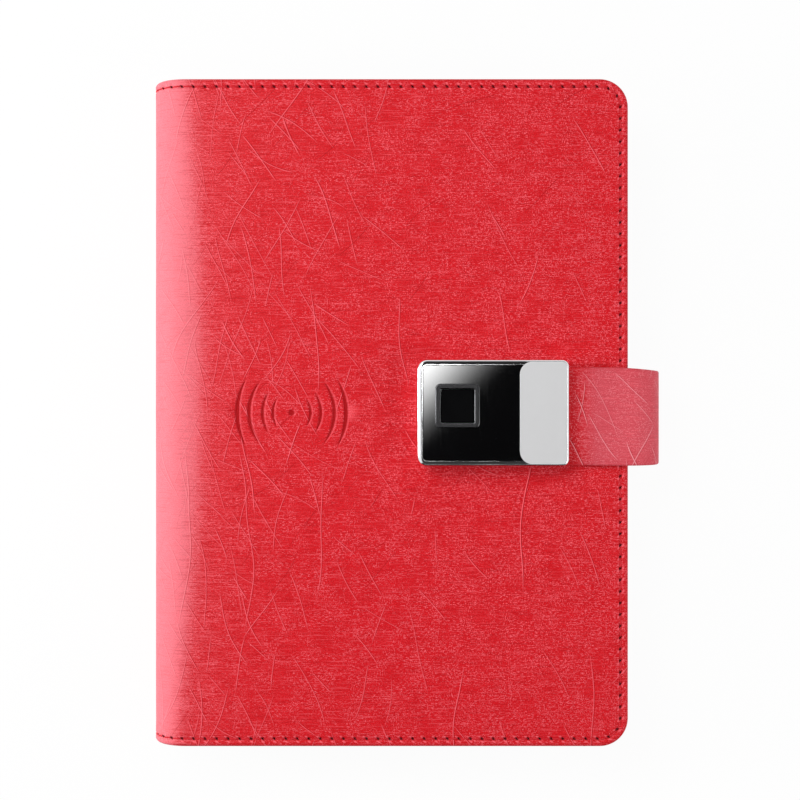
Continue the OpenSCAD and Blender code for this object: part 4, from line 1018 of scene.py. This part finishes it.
def polish_finish(name, colour, rough):
    """Polished metal: a clean mirror with only a few soft clouds in its gloss."""
    f = Finish(name, colour, rough, 1.0)
    cloud = f.noise(f.object_place(), 140.0, 2.0)
    f.set("Roughness", f.ramp(cloud, 0.35, 0.7, rough * 0.8, rough * 1.5))
    f.set("Base Color", f.mix(f.ramp(cloud, 0.4, 0.8, 0, 0.5), colour, shaded(colour, 0.93)))
    return f.material


def plastic_finish(name, colour, rough, **sockets):
    """Moulded plastic: fine spark-eroded grain and rubbed shinier places."""
    f = Finish(name, colour, rough, **sockets)
    place = f.object_place()
    pits = f.noise(place, 1600.0, 2.0)
    rub = f.noise(place, 60.0, 3.0)
    f.set("Roughness", f.ramp(rub, 0.35, 0.7, rough - 0.08, rough + 0.08))
    f.set("Base Color", f.mix(f.ramp(rub, 0.4, 0.7, 0, 0.4), colour, shaded(colour, 1.5, 0.004)))
    return f.relief(f.bump(pits, 0.25, 0.03))


def panel_finish(name, colour):
    """Black glossy cover panel with a little dust and hair-fine wiping marks."""
    f = Finish(name, colour, 0.05, Coat_Weight=1.0, Coat_Roughness=0.03)
    place = f.object_place()
    wipe = f.noise(f.stretched(place, (2500, 90, 90), 30), 1.0, 3.0)
    dust = f.ramp(f.noise(place, 3000.0, 1.0), 0.72, 0.80)
    f.set("Roughness", f.ramp(wipe, 0.4, 0.75, 0.04, 0.08))
    f.set("Base Color", f.mix(f.product(dust, 0.3), colour, (0.10, 0.10, 0.11)))
    return f.material


def fabric_finish(name, colour, light):
    """Plain woven lining: warp and weft waves over each other, with uneven yarns; the raised yarn is
    painted lighter as a highlight.
    """
    f = Finish(name, colour, 0.85, Sheen_Weight=0.3, Sheen_Roughness=0.5)
    place = f.object_place()
    wobble = f.noise(place, 120.0, 2.0)
    warp, weft = (f.node("ShaderNodeTexWave", {"bands_direction": way}, Vector=place,
                         Scale=1100 / 6.28, Distortion=0.8).outputs[1] for way in "XY")
    cloth = f.math("MAXIMUM", f.product(warp, f.ramp(wobble, 0.3, 0.7, 0.7, 1.0)), weft)
    f.set("Base Color", f.mix(f.ramp(cloth, 0.3, 1.0), colour, light))
    return f.relief(f.bump(cloth, 0.5, 0.12))


# The paper's distance between ruled lines, and its margin line's distance from the rings' edge
ROW = 7.0
MARGIN = 24.0


def paper_finish(name, paper, ruling, low, high):
    """A packet of paper: the edges of its sheets as fine uneven lines round the sides, darker between
    the sheets as painted shade, and on its upper and lower faces ruled lines between margins, all
    with a faint fibre. low and high are the packet's corners in millimetres."""
    f = Finish(name, paper, 0.8, Specular_IOR_Level=0.25)
    place = f.object_place()
    x, y, _ = f.parts(place)
    up = f.math("ABSOLUTE", y)

    def step(value, start, end, bottom=1, top=0):
        """A smooth change between two places in millimetres."""
        return f.ramp(value, start * MM, end * MM, bottom, top)

    edges = f.noise(f.stretched(place, (25, 25, 7000)), 1.0, 2.0, 0.7)
    fibre = f.noise(place, 2600.0, 2.0)
    side = f.mix(f.ramp(edges, 0.42, 0.62, 0, 0.75), paper, shaded(paper, 0.70))
    sheet = f.mix(f.ramp(fibre, 0.4, 0.7, 0, 0.25), paper, shaded(paper, 0.90))
    row = f.gap(f.math("FRACT", f.math("DIVIDE", y, ROW * MM)), 0.5)
    inside = f.product(step(x, low[0] + 21, low[0] + 21.2, 0, 1),
                       step(x, high[0] - 8, high[0] - 7.8), step(up, high[1] - 12, high[1] - 11.8))
    margin = step(f.gap(x, (low[0] + MARGIN) * MM), 0.1, 0.25)
    sheet = f.mix(f.product(f.ramp(row, 0.015, 0.04, 1, 0), inside), sheet, ruling)
    sheet = f.mix(f.product(margin, inside), sheet, (ruling[2], ruling[0] * 0.7, ruling[0] * 0.7))
    half = (high[0] - low[0]) / 2
    face = f.product(step(f.gap(x, (low[0] + half) * MM), half - 0.2, half - 0.1),
                     step(up, high[1] - 0.2, high[1] - 0.1))
    f.set("Base Color", f.mix(face, side, sheet))
    return f.relief(f.bump(f.mix(face, edges, f.product(fibre, 0.2)), 0.5, 0.12))


def coil_finish(name, colour, centre, pitch):
    """A flat winding of enamelled copper wire: turns a pitch apart round the centre (in
    millimetres), painted dark between the wires as shade."""
    f = Finish(name, colour, 0.3, 0.85)
    x, y, _ = f.parts(f.object_place())
    x, y = f.math("SUBTRACT", x, centre[0] * MM), f.math("SUBTRACT", y, centre[1] * MM)
    turn = f.math("FRACT", f.math("DIVIDE", f.hypot(x, y), pitch * MM))
    wire = f.ramp(f.gap(turn, 0.5), 0.5, 0.25)
    f.set("Base Color", f.mix(wire, shaded(colour, 0.2), colour))
    return f.relief(f.bump(wire, 1.0, 0.2))


def circuit_finish(name, colour):
    """Circuit board: solder mask over stepped copper tracks, with small tinned pads."""
    f = Finish(name, colour, 0.35, Coat_Weight=0.4, Coat_Roughness=0.15)
    place = f.object_place()
    cells = f.node("ShaderNodeTexVoronoi", {"distance": "MANHATTAN"}, Vector=place,
                   Scale=260.0, Randomness=0.7).outputs["Distance"]
    pads = f.node("ShaderNodeTexVoronoi", Vector=place, Scale=420.0, Randomness=0.35).outputs["Distance"]
    copper = f.ramp(f.gap(f.math("FRACT", f.product(cells, 3.0)), 0.5), 0.14, 0.10)
    tin = f.ramp(pads, 0.16, 0.12)
    board = f.mix(copper, colour, shaded(colour, 2.2, 0.01))
    f.set("Base Color", f.mix(tin, board, (0.55, 0.54, 0.50)))
    f.set("Metallic", f.product(tin, 0.9))
    return f.relief(f.bump(f.math("MAXIMUM", copper, tin), 0.5, 0.04))


def pouch_finish(name, foil, low, high):
    """Foil battery pouch with soft creases, and amber tape over its ends along X (millimetres)."""
    f = Finish(name, foil, 0.35, 0.9)
    place = f.object_place()
    x, _, _ = f.parts(place)
    crease = f.noise(place, 120.0, 4.0, 0.65, 0.8)
    edge = (high[0] - low[0]) / 2 * MM
    tape = f.ramp(f.gap(x, (low[0] + high[0]) / 2 * MM), 0.84 * edge, 0.845 * edge)
    pouch = f.mix(f.ramp(crease, 0.35, 0.65), foil, shaded(foil, 0.75))
    f.set("Base Color", f.mix(tape, pouch, TAPE))
    f.set("Metallic", f.ramp(tape, 0.4, 0.6, 0.9, 0.0))
    return f.relief(f.bump(crease, 0.5, 0.3))


def window_finish(name, colour, low, high):
    """Frosted light window: four round lens spots in a row along Y, painted a little brighter than the
    frosting between them as a painted glow of lights behind them (corners in millimetres)."""
    f = Finish(name, colour, 0.3, Transmission_Weight=0.2)
    _, y, z = f.parts(f.object_place())
    per_spot = 4 / (high[1] - low[1]) / MM
    along = f.math("FRACT", f.product(f.math("SUBTRACT", y, low[1] * MM), per_spot))
    up = f.product(f.math("SUBTRACT", z, (low[2] + high[2]) / 2 * MM), per_spot)
    spot = f.ramp(f.hypot(f.math("SUBTRACT", along, 0.5), up), 0.2, 0.3, 1, 0)
    f.set("Base Color", f.mix(spot, shaded(colour, 0.62), colour))
    frost = f.noise(f.object_place(), 1500.0, 2.0)
    return f.relief(f.bump(f.math("MULTIPLY_ADD", frost, 0.3, spot), 0.4, 0.08))


def board_finish(name, colour):
    """Grey-brown book board: pressed fibres, a little darker in spots."""
    f = Finish(name, colour, 0.9)
    fibre = f.noise(f.stretched(f.object_place(), (300, 900, 900)), 1.0, 4.0)
    f.set("Base Color", f.mix(f.ramp(fibre, 0.35, 0.7), colour, shaded(colour, 0.72)))
    return f.relief(f.bump(fibre, 0.4, 0.1))


def direct_rays(tree):
    """1 for a ray straight from the camera, from a mirror or through glass, and 0 for others."""
    rays = tree.nodes.new("ShaderNodeLightPath").outputs
    seen = rays["Is Camera Ray"]
    for kind in ("Is Glossy Ray", "Is Transmission Ray"):
        most = tree.nodes.new("ShaderNodeMath")
        most.operation = "MAXIMUM"
        tree.links.new(seen, most.inputs[0])
        tree.links.new(rays[kind], most.inputs[1])
        seen = most.outputs[0]
    return seen


def stage_finish(name, glow):
    """A plain white surface that the camera, mirrors and glass see nearly as white as the
    background, and that still takes a soft shadow; glow is the share that shines by itself."""
    f = Finish(name, (0.9, 0.9, 0.9), 1.0)
    tree = f.tree
    light = f.node("ShaderNodeEmission", Color=(1, 1, 1), Strength=1.0)
    blend = tree.nodes.new("ShaderNodeMixShader")
    tree.links.new(f.product(direct_rays(tree), glow), blend.inputs[0])
    tree.links.new(f.shader.outputs[0], blend.inputs[1])
    tree.links.new(light.outputs[0], blend.inputs[2])
    tree.links.new(blend.outputs[0], tree.nodes["Material Output"].inputs[0])
    return f.material


def level_corners(x0, y0, x1, y1, z):
    """The corners of a level sheet, from one corner to the opposite one."""
    return [(x0, y0, z), (x1, y0, z), (x1, y1, z), (x0, y1, z)]


def sheet_mesh(name, corners, material):
    """A flat stage sheet from its four corners in millimetres."""
    mesh = bpy.data.meshes.new(name)
    mesh.from_pydata([tuple(np.array(c) * MM) for c in corners], [], [(0, 1, 2, 3)])
    mesh.materials.append(material)
    sheet = bpy.data.objects.new(name, mesh)
    bpy.context.scene.collection.objects.link(sheet)
    return sheet


def soft_lamp(name, place, aim, size, watts):
    """A square studio lamp at a place, turned towards what it aims at (both in millimetres)."""
    data = bpy.data.lights.new(name, "AREA")
    data.shape = "RECTANGLE"
    data.size, data.size_y = size[0] * MM, size[1] * MM
    data.energy = watts
    lamp = bpy.data.objects.new(name, data)
    lamp.location = Vector(place) * MM
    lamp.rotation_euler = (Vector(aim) - Vector(place)).to_track_quat("-Z", "Y").to_euler()
    bpy.context.scene.collection.objects.link(lamp)
    return lamp


def card_finish(name, corner, reach, strength):
    """A lit card that only mirrors see: brightest in the corner and fading over the reach, by the
    power 1.6 of a smooth step over the distances along X and Y together."""
    f = Finish(name, (0, 0, 0), 1.0)
    x, y, _ = f.parts(f.object_place())
    away = f.math("ADD", f.math("SUBTRACT", x, corner[0] * MM), f.math("SUBTRACT", corner[1] * MM, y))
    fade = f.math("POWER", f.ramp(away, -0.004, reach * MM, 1.0, 0.0), 1.6)
    light = f.node("ShaderNodeEmission", Color=(1, 1, 1), Strength=f.product(fade, strength))
    f.tree.links.new(light.outputs[0], f.tree.nodes["Material Output"].inputs[0])
    return f.material


def set_world(ambient):
    """White where the camera or a mirror looks past the floor, and an even grey light elsewhere."""
    world = bpy.data.worlds.new("Studio")
    bpy.context.scene.world = world
    world.use_nodes = True
    tree = world.node_tree
    light = tree.nodes["Background"]
    strength = tree.nodes.new("ShaderNodeMapRange")
    tree.links.new(direct_rays(tree), strength.inputs[0])
    strength.inputs[3].default_value = ambient
    strength.inputs[4].default_value = 1.0
    tree.links.new(strength.outputs[0], light.inputs["Strength"])
    light.inputs["Color"].default_value = (1, 1, 1, 1)


def length(name, what, metres, low=0.0):
    """A size that a user may change."""
    return bpy.props.FloatProperty(name=name, description=what, default=metres, min=low,
                                   subtype="DISTANCE", unit="LENGTH", precision=5)


def tint(name, what, screen):
    """A colour that a user may change, given as the screen shows it."""
    return bpy.props.FloatVectorProperty(name=name, description=what, size=3, subtype="COLOR",
                                         default=linear(screen), min=0.0, max=1.0)


def share(name, what, value):
    """A share from 0 to 1."""
    return bpy.props.FloatProperty(name=name, description=what, default=value, min=0.0, max=1.0,
                                   subtype="FACTOR")


def number(name, what, value, unit="NONE", low=0.0):
    """A number in a unit of its own."""
    return bpy.props.FloatProperty(name=name, description=what, default=value, min=low, unit=unit)


class DIARY_PG_leather(bpy.types.PropertyGroup):
    base: tint("Leather", "Main colour of the leather", (223, 21, 33))
    deep: tint("Mottle", "Deeper colour of its soft mottling", (211, 13, 25))
    # This dark red also paints the shade beside the scratches and along the stitched seam.
    shade: tint("Shade", "Dark red in the grain and beside scratches", (178, 12, 22))
    fleck: tint("Flecks", "Colour of the fine woven flecks", (255, 110, 122))
    lint: tint("Strap flecks", "Colour of the flecks on the strap", (246, 142, 152))
    # The scratch colour is partly a painted highlight on the scratches' ridges, and it also paints the
    # highlight on the pressed mark's lit walls and the glints beside the needle holes.
    scratch_and_highlight: tint("Scratches", "Colour of the long thin scratches", (252, 104, 116))
    scar: tint("Strap scratches", "Colour of the scratches on the strap", (250, 160, 170))
    pressed: tint("Pressed", "Colour where the mark is pressed in", (172, 4, 14))
    # The holes' dark red is painted shade in the needle holes.
    hole: tint("Holes", "Colour inside the needle holes", (52, 0, 4))
    # The bent leather's pale colour is partly a paler stretched tone and partly a painted sheen on the
    # fold.
    pale: tint("Bent leather", "Waxy pale colour where the cover is bent", (249, 136, 148))
    # The strap's rose is partly a paler stretched tone and partly a painted sheen where it bends.
    rose: tint("Strap rose", "Dull pale colour of the strap where it is bent", (227, 92, 105))
    thread: tint("Thread", "Colour of the thread", (202, 18, 30))
    # The thread's lighter colour is a painted highlight on its raised plies.
    thread_light: tint("Thread light", "Colour of the thread's raised plies", (232, 60, 72))
    rough: share("Roughness", "Roughness of the leather", 0.5)
    flecks: share("Flecks", "Strength of the flecks", 0.85)
    scratches: share("Scratches", "Strength of the scratches", 1.0)
    # The bent strength scales the pale tone, which is partly a painted sheen.
    stretch_and_sheen: share("Bent strength", "Strength of the pale tone on bent leather", 0.85)


class DIARY_PG_stitching(bpy.types.PropertyGroup):
    deep: length("Mark depth", "Depth of the pressed charging mark", 0.0004)
    inset: length("Stitch inset", "Distance of the stitching from the edge", 0.0028)
    pitch: length("Stitch length", "Distance between needle holes", 0.00405, 0.002)
    hole: length("Needle hole", "Width of a needle hole", 0.0009)
    thread: length("Thread radius", "Half the thickness of the thread", 0.00024)
    groove: length("Groove depth", "Depth of the stitching's groove", 0.00028)


class DIARY_PG_strap(bpy.types.PropertyGroup):
    thick: length("Thickness", "Thickness of the strap", 0.002)
    width: length("Width", "Width of the strap", (RISER_HIGH[1] - RISER_LOW[1]) * MM)
    bend: length("Bend radius", "Radius of its middle layer at the bends", 0.011)


class DIARY_PG_lock(bpy.types.PropertyGroup):
    panel: tint("Panel", "Colour of the glossy panel", (9, 9, 10))
    plate: tint("End plate", "Colour of the satin end plate", (217, 217, 218))
    steel: tint("Lock metal", "Colour of the lock's polished metal", (226, 226, 228))
    chrome: tint("Bezel", "Colour of the dark bezel", (34, 34, 36))
    edge: tint("Bezel edge", "Colour of the bezel's polished edges", (86, 86, 88))
    pad: tint("Sensor pad", "Colour of the finger pad", (7, 7, 8))


class DIARY_PG_inside(bpy.types.PropertyGroup):
    lining: tint("Lining", "Colour of the lining's yarn", (112, 22, 32))
    # The lining's lighter colour is a painted highlight on the raised yarn.
    lining_light: tint("Lining light", "Colour of the yarn's raised parts", (150, 40, 50))
    paper: tint("Paper", "Colour of the paper", (244, 239, 226))
    ruling: tint("Ruling", "Colour of the ruled lines", (176, 190, 204))
    chrome: tint("Rings", "Colour of the ring metal", (214, 215, 218))
    plastic: tint("Power bank", "Colour of the power bank", (34, 34, 37))
    board: tint("Book board", "Colour of the book board", (150, 122, 88))


class DIARY_PG_studio(bpy.types.PropertyGroup):
    key: number("Key lamp", "Power of the key lamp", 3.0, "POWER")
    side: number("Spine lamp", "Power of the lamp at the spine", 2.2, "POWER")
    fill: number("Fill lamp", "Power of the weak lamp at the strap", 0.9, "POWER")
    ambient: share("Even light", "Strength of the even grey light", 0.40)
    card: number("Card", "Strength of the card that the panel mirrors", 18.0)
    high: length("Camera height", "Height of the camera above the front cover", 0.5)
    lens: number("Lens", "Focal length", 64.0, "CAMERA", 10.0)


def in_mm(group):
    """The group's lengths as plain numbers in millimetres."""
    return SimpleNamespace(**{p.identifier: getattr(group, p.identifier) / MM
                              for p in group.bl_rna.properties
                              if p.type == "FLOAT" and p.unit == "LENGTH"})


def dress(material, *nodes, bevel=0.0):
    """Gives CAD nodes a material through their objects' slots, and optionally a fine bevel."""
    for name in nodes:
        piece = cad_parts[name]
        for slot in piece.material_slots:
            slot.link = "OBJECT"
            slot.material = material
        if bevel:
            weld = piece.modifiers.new("Join", "WELD")
            weld.merge_threshold = 1e-6
            edge = piece.modifiers.new("Bevel", "BEVEL")
            edge.width = bevel * MM
            edge.segments = 2
            edge.limit_method = "ANGLE"
            edge.angle_limit = np.radians(40)
            edge.harden_normals = False
            edge.use_clamp_overlap = True


class DiaryPiece:
    """What the operators share."""

    bl_options = {"REGISTER"}

    def sizes(self, context):
        """The stitching's lengths in millimetres."""
        return in_mm(context.scene.diary_stitching)


class DIARY_OT_front_skin(DiaryPiece, bpy.types.Operator):
    """Front cover, its fold and the spine in red leather, with the charging mark pressed in"""

    bl_idname = "diary.front_skin"
    bl_label = "Front skin"

    def execute(self, context):
        wanted = self.sizes(context)
        surface = Surface()
        skin_sheet(surface, 1, wanted)
        edge_band(surface, 1, wanted)
        leather = leather_finish("front leather", context.scene.diary_leather, wanted)
        piece = surface.build("front_skin", [leather])
        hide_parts("front_leather", "hinge_leather_front", "spine_leather")
        fold_front(piece)
        return {"FINISHED"}


class DIARY_OT_back_skin(DiaryPiece, bpy.types.Operator):
    """Back cover and its fold in red leather"""

    bl_idname = "diary.back_skin"
    bl_label = "Back skin"

    def execute(self, context):
        wanted = self.sizes(context)
        surface = Surface()
        skin_sheet(surface, -1, wanted)
        edge_band(surface, -1, wanted)
        leather = leather_finish("back leather", context.scene.diary_leather, wanted)
        piece = surface.build("back_skin", [leather])
        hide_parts("back_leather", "hinge_leather_back")
        fold_back(piece)
        return {"FINISHED"}


class DIARY_OT_stitching(DiaryPiece, bpy.types.Operator):
    """Red thread round three edges of both covers, one short bar for each stitch"""

    bl_idname = "diary.stitching"
    bl_label = "Stitching"

    def execute(self, context):
        thread = thread_finish("red thread", context.scene.diary_leather)
        for side, name, node, fold in ((1, "front_stitches", "front_thread", fold_front),
                                       (-1, "back_stitches", "back_thread", fold_back)):
            surface = Surface()
            stitch_row(surface, side, self.sizes(context), side > 0)
            piece = surface.build(name, [thread], crease=70, merge=0)
            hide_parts(node)
            fold(piece)
        return {"FINISHED"}


class DIARY_OT_linings(DiaryPiece, bpy.types.Operator):
    """Woven lining inside both covers and a strip over each gutter"""

    bl_idname = "diary.linings"
    bl_label = "Linings"

    def execute(self, context):
        look = context.scene.diary_inside
        cloth = fabric_finish("lining cloth", look.lining, look.lining_light)
        dress(cloth, "front_lining", "back_lining", "spine_lining")
        dress(board_finish("book board", look.board), "front_board", "back_board", "spine_board")
        for side, name, fold in ((1, "front_gutter", fold_front), (-1, "back_gutter", fold_back)):
            surface = Surface()
            gutter_strip(surface, side)
            piece = surface.build(name, [cloth])
            fold(piece)
        return {"FINISHED"}


class DIARY_OT_strap(DiaryPiece, bpy.types.Operator):
    """Leather strap from the back cover round the fore edge to the lock"""

    bl_idname = "diary.strap"
    bl_label = "Strap"

    def execute(self, context):
        wanted = in_mm(context.scene.diary_strap)
        wanted.middle = (RISER_LOW[1] + RISER_HIGH[1]) / 2 - 0.5
        leather = leather_finish("strap leather", context.scene.diary_leather, strap=True)
        x, r = STRAP_X - wanted.thick / 2, wanted.bend
        low, top = ROOT_LOW[2] + wanted.thick / 2, FLAP_HIGH[2] - wanted.thick / 2
        for part, nodes, bodies, start, end in (
            ("lower", ("strap_root", "strap_riser"), ("back_cover", "strap_rise"),
             (x - r, low), (x, low + r)),
            ("upper", ("strap_flap",), ("strap_rise", "strap_end"),
             (x, top - r), (x - r, top)),
        ):
            surface = Surface()
            strap_part(surface, wanted, part)
            piece = surface.build("strap_" + part, [leather], crease=60)
            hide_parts(*nodes)
            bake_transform(piece)
        steel = metal_finish("tongue steel", context.scene.diary_lock.steel, 0.28, "x")
        dress(steel, "strap_tongue", bevel=0.12)
        return {"FINISHED"}


class DIARY_OT_lock(DiaryPiece, bpy.types.Operator):
    """Lock: bright case, glossy black panel, satin end plate, dark chrome bezel and finger pad"""

    bl_idname = "diary.lock"
    bl_label = "Lock"

    def execute(self, context):
        look = context.scene.diary_lock
        polish = polish_finish("polished steel", look.steel, 0.16)
        dress(polish, "lock_case")
        edge = polish_finish("bezel edge", look.edge, 0.2)
        centre = (BEZEL_LOW[:2] + BEZEL_HIGH[:2]) / 2
        hole = square_ring(centre, PAD_HIGH[0] - PAD_LOW[0] + 1.2, 0.6)[::-1]
        made = []

        panel = Surface()
        cut_plate(panel, [panel_outline(), hole], PANEL_LOW[2], PANEL_HIGH[2], 0.14)
        black = panel_finish("black panel", look.panel)
        made.append((panel, "lock_panel", [black], "face_panel", "black_glass"))

        end = Surface()
        cut_plate(end, [end_outline(0)], END_LOW[2] + 0.4, END_HIGH[2] + END_RISE, 0.16)
        satin = metal_finish("satin plate", look.plate, 0.5, "y", metal=0.2, cloudy=0.15)
        made.append((end, "lock_end_plate", [satin], "end_plate", "satin_plate"))

        bezel = Surface()
        inner = square_ring(centre, PAD_HIGH[0] - PAD_LOW[0] + 0.2, 0.5)[::-1]
        outer = square_ring(centre, BEZEL_HIGH[0] - BEZEL_LOW[0] - 0.8, 1.8)
        cut_plate(bezel, [outer, inner], PANEL_HIGH[2] - 0.3, BEZEL_HIGH[2], 0.4, edge_slot=1)
        chrome = metal_finish("dark chrome", look.chrome, 0.5, metal=0.0, cloudy=0.2)
        made.append((bezel, "sensor_frame", [chrome, edge], "sensor_bezel", "dark_chrome"))

        pad = Surface()
        outer = square_ring(centre, PAD_HIGH[0] - PAD_LOW[0], 0.45)
        cut_plate(pad, [outer], PAD_LOW[2], PAD_HIGH[2], 0.3)
        touch = plastic_finish("finger pad", look.pad, 0.55, Specular_IOR_Level=0.0)
        made.append((pad, "finger_pad", [touch], "sensor_pad", "sensor_black"))

        rim = Surface()
        case_rim(rim)
        # The rim's inner slope and lip get the panel's black as painted shade in the groove round the
        # panel.
        lip = metal_finish("dark lip", look.panel, 0.5, metal=0.0, cloudy=0.2)
        made.append((rim, "lock_rim", [polish, lip], None, "satin_plate"))

        for surface, name, materials, node, slot in made:
            piece = surface.build(name, materials, crease=30)
            if node:
                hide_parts(node)
            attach(piece, "front_cover")
        dress(metal_finish("plain steel", (0.5, 0.51, 0.52), 0.35),
              "lock_base", "lock_backing", "lock_screws", "lock_port")
        dress(circuit_finish("lock circuit", SOLDER_MASK), "lock_board")
        dress(pouch_finish("lock cell foil", FOIL, *edges_of("lock_cell")), "lock_cell")
        dress(metal_finish("motor steel", (0.55, 0.56, 0.57), 0.3, "y"), "lock_motor")
        dress(metal_finish("brass", linear((206, 168, 88)), 0.3), "motor_screw", "latch_bolt")
        dress(plastic_finish("black nylon", NYLON, 0.5), "motor_cradle", "bolt_guide")
        return {"FINISHED"}


class DIARY_OT_binder(DiaryPiece, bpy.types.Operator):
    """Ring binder: chromed channel, rings, levers and rivets"""

    bl_idname = "diary.binder"
    bl_label = "Ring binder"

    def execute(self, context):
        look = context.scene.diary_inside
        chrome = metal_finish("ring chrome", look.chrome, 0.14)
        dress(chrome, "ring_set_left", "ring_set_right", "lever_head", "lever_tail", "channel_rivets")
        dress(metal_finish("channel steel", look.chrome, 0.22, "y"), "ring_channel", bevel=0.25)
        return {"FINISHED"}


class DIARY_OT_paper(DiaryPiece, bpy.types.Operator):
    """Paper: the block and the packet of leaves, with the edges of their sheets"""

    bl_idname = "diary.paper"
    bl_label = "Paper"

    def execute(self, context):
        look = context.scene.diary_inside
        for name in ("page_block", "page_leaf"):
            dress(paper_finish(name + " paper", look.paper, look.ruling, *edges_of(name)), name)
        return {"FINISHED"}


class DIARY_OT_power(DiaryPiece, bpy.types.Operator):
    """Power bank inside the front cover and the charging pad under the mark"""

    bl_idname = "diary.power"
    bl_label = "Power bank"

    def execute(self, context):
        look = context.scene.diary_inside
        dress(plastic_finish("bank plastic", look.plastic, 0.45), "bank_case", bevel=0.5)
        dress(plastic_finish("bank lid plastic", look.plastic, 0.45), "bank_lid")
        dress(metal_finish("screw steel", (0.4, 0.41, 0.42), 0.3), "bank_screws")
        foil = pouch_finish("bank cell foil", FOIL, *edges_of("battery_cell"))
        dress(foil, "battery_cell")
        dress(circuit_finish("charger circuit", SOLDER_MASK), "charger_board")
        dress(metal_finish("socket steel", (0.55, 0.56, 0.58), 0.3), "usb_a_socket", "usb_c_socket")
        dress(metal_finish("button metal", (0.55, 0.56, 0.57), 0.3), "power_button", bevel=0.3)
        dress(plastic_finish("switch plastic", NYLON, 0.5), "button_switch")
        clear = window_finish("light window", linear((225, 232, 240)), *edges_of("light_window"))
        dress(clear, "light_window")
        middle = sum(edges_of("charging_coil")) / 2
        dress(coil_finish("coil copper", linear((190, 110, 60)), middle, 0.7), "charging_coil")
        dress(plastic_finish("ferrite", linear((58, 58, 61)), 0.6), "ferrite_sheet")
        return {"FINISHED"}


# The point of the cover under the camera, in millimetres
AIM = (-2.8, 4.45)


class DIARY_OT_stage(DiaryPiece, bpy.types.Operator):
    """Pale floor, soft studio lamps and the camera straight above the front cover"""

    bl_idname = "diary.stage"
    bl_label = "Stage"

    def execute(self, context):
        scene = context.scene
        look = scene.diary_studio
        white = stage_finish("white floor", 0.95)
        sheet_mesh("floor", level_corners(-3000, -3000, 3000, 3000, -0.1), white)
        set_world(look.ambient)
        soft_lamp("Key lamp", (-330, 330, 720), (0, 0, 20), (420, 420), look.key)
        soft_lamp("Spine lamp", (-560, 20, 160), (-85, 0, 20), (120, 520), look.side)
        soft_lamp("Fill lamp", (520, -160, 360), (20, 0, 20), (300, 300), look.fill)
        data = bpy.data.cameras.new("Camera")
        data.lens = look.lens
        data.clip_start, data.clip_end = 0.01, 50
        camera = bpy.data.objects.new("Camera", data)
        camera.location = Vector((*AIM, CLOSED + look.high / MM)) * MM
        scene.collection.objects.link(camera)
        scene.camera = camera
        flag = Finish("dark flag", (0, 0, 0), 1.0).material
        card = card_finish("lit card", (9, 36), 79, look.card)
        high = CLOSED + look.high / MM + 30
        for name, material, corners in (
            ("flag", flag, level_corners(-200, 450, 450, -450, high + 4)),
            ("tail flag", flag, [(-420, -520, 0), (420, -520, 0), (420, -520, 600), (-420, -520, 600)]),
            ("card", card, level_corners(4, 40, 90, -46, high)),
        ):
            sheet = sheet_mesh(name, corners, material)
            sheet.visible_camera = sheet.visible_diffuse = sheet.visible_shadow = False
        scene.view_settings.view_transform = "Standard"
        return {"FINISHED"}


class DIARY_PT_panel(bpy.types.Panel):
    """Lists the diary's sizes and colours and the operators that build it"""

    bl_label = "Electronic secret diary"
    bl_idname = "DIARY_PT_panel"
    bl_space_type = "VIEW_3D"
    bl_region_type = "UI"
    bl_category = "Diary"

    def draw(self, context):
        for name, group in GROUPS.items():
            box = self.layout.box()
            for key in group.__annotations__:
                box.prop(getattr(context.scene, name), key)
        for operator in OPERATORS:
            self.layout.operator(operator.bl_idname)


def fold_front(piece):
    """Bakes the piece's placement into its mesh."""
    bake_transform(piece)


def fold_back(piece):
    """Bakes the piece's placement into its mesh."""
    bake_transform(piece)


GROUPS = {
    "diary_leather": DIARY_PG_leather,
    "diary_stitching": DIARY_PG_stitching,
    "diary_strap": DIARY_PG_strap,
    "diary_lock": DIARY_PG_lock,
    "diary_inside": DIARY_PG_inside,
    "diary_studio": DIARY_PG_studio,
}
OPERATORS = (
    DIARY_OT_stage, DIARY_OT_front_skin, DIARY_OT_back_skin, DIARY_OT_stitching, DIARY_OT_linings,
    DIARY_OT_strap, DIARY_OT_lock, DIARY_OT_binder, DIARY_OT_paper, DIARY_OT_power,
)


def register():
    for name, group in GROUPS.items():
        bpy.utils.register_class(group)
        setattr(bpy.types.Scene, name, bpy.props.PointerProperty(type=group))
    for thing in (*OPERATORS, DIARY_PT_panel):
        bpy.utils.register_class(thing)


def unregister():
    for thing in (DIARY_PT_panel, *reversed(OPERATORS)):
        bpy.utils.unregister_class(thing)
    for name, group in GROUPS.items():
        delattr(bpy.types.Scene, name)
        bpy.utils.unregister_class(group)


def main():
    register()
    for operator in OPERATORS:
        group, name = operator.bl_idname.split(".")
        getattr(getattr(bpy.ops, group), name)()


if __name__ == "__main__":
    main()
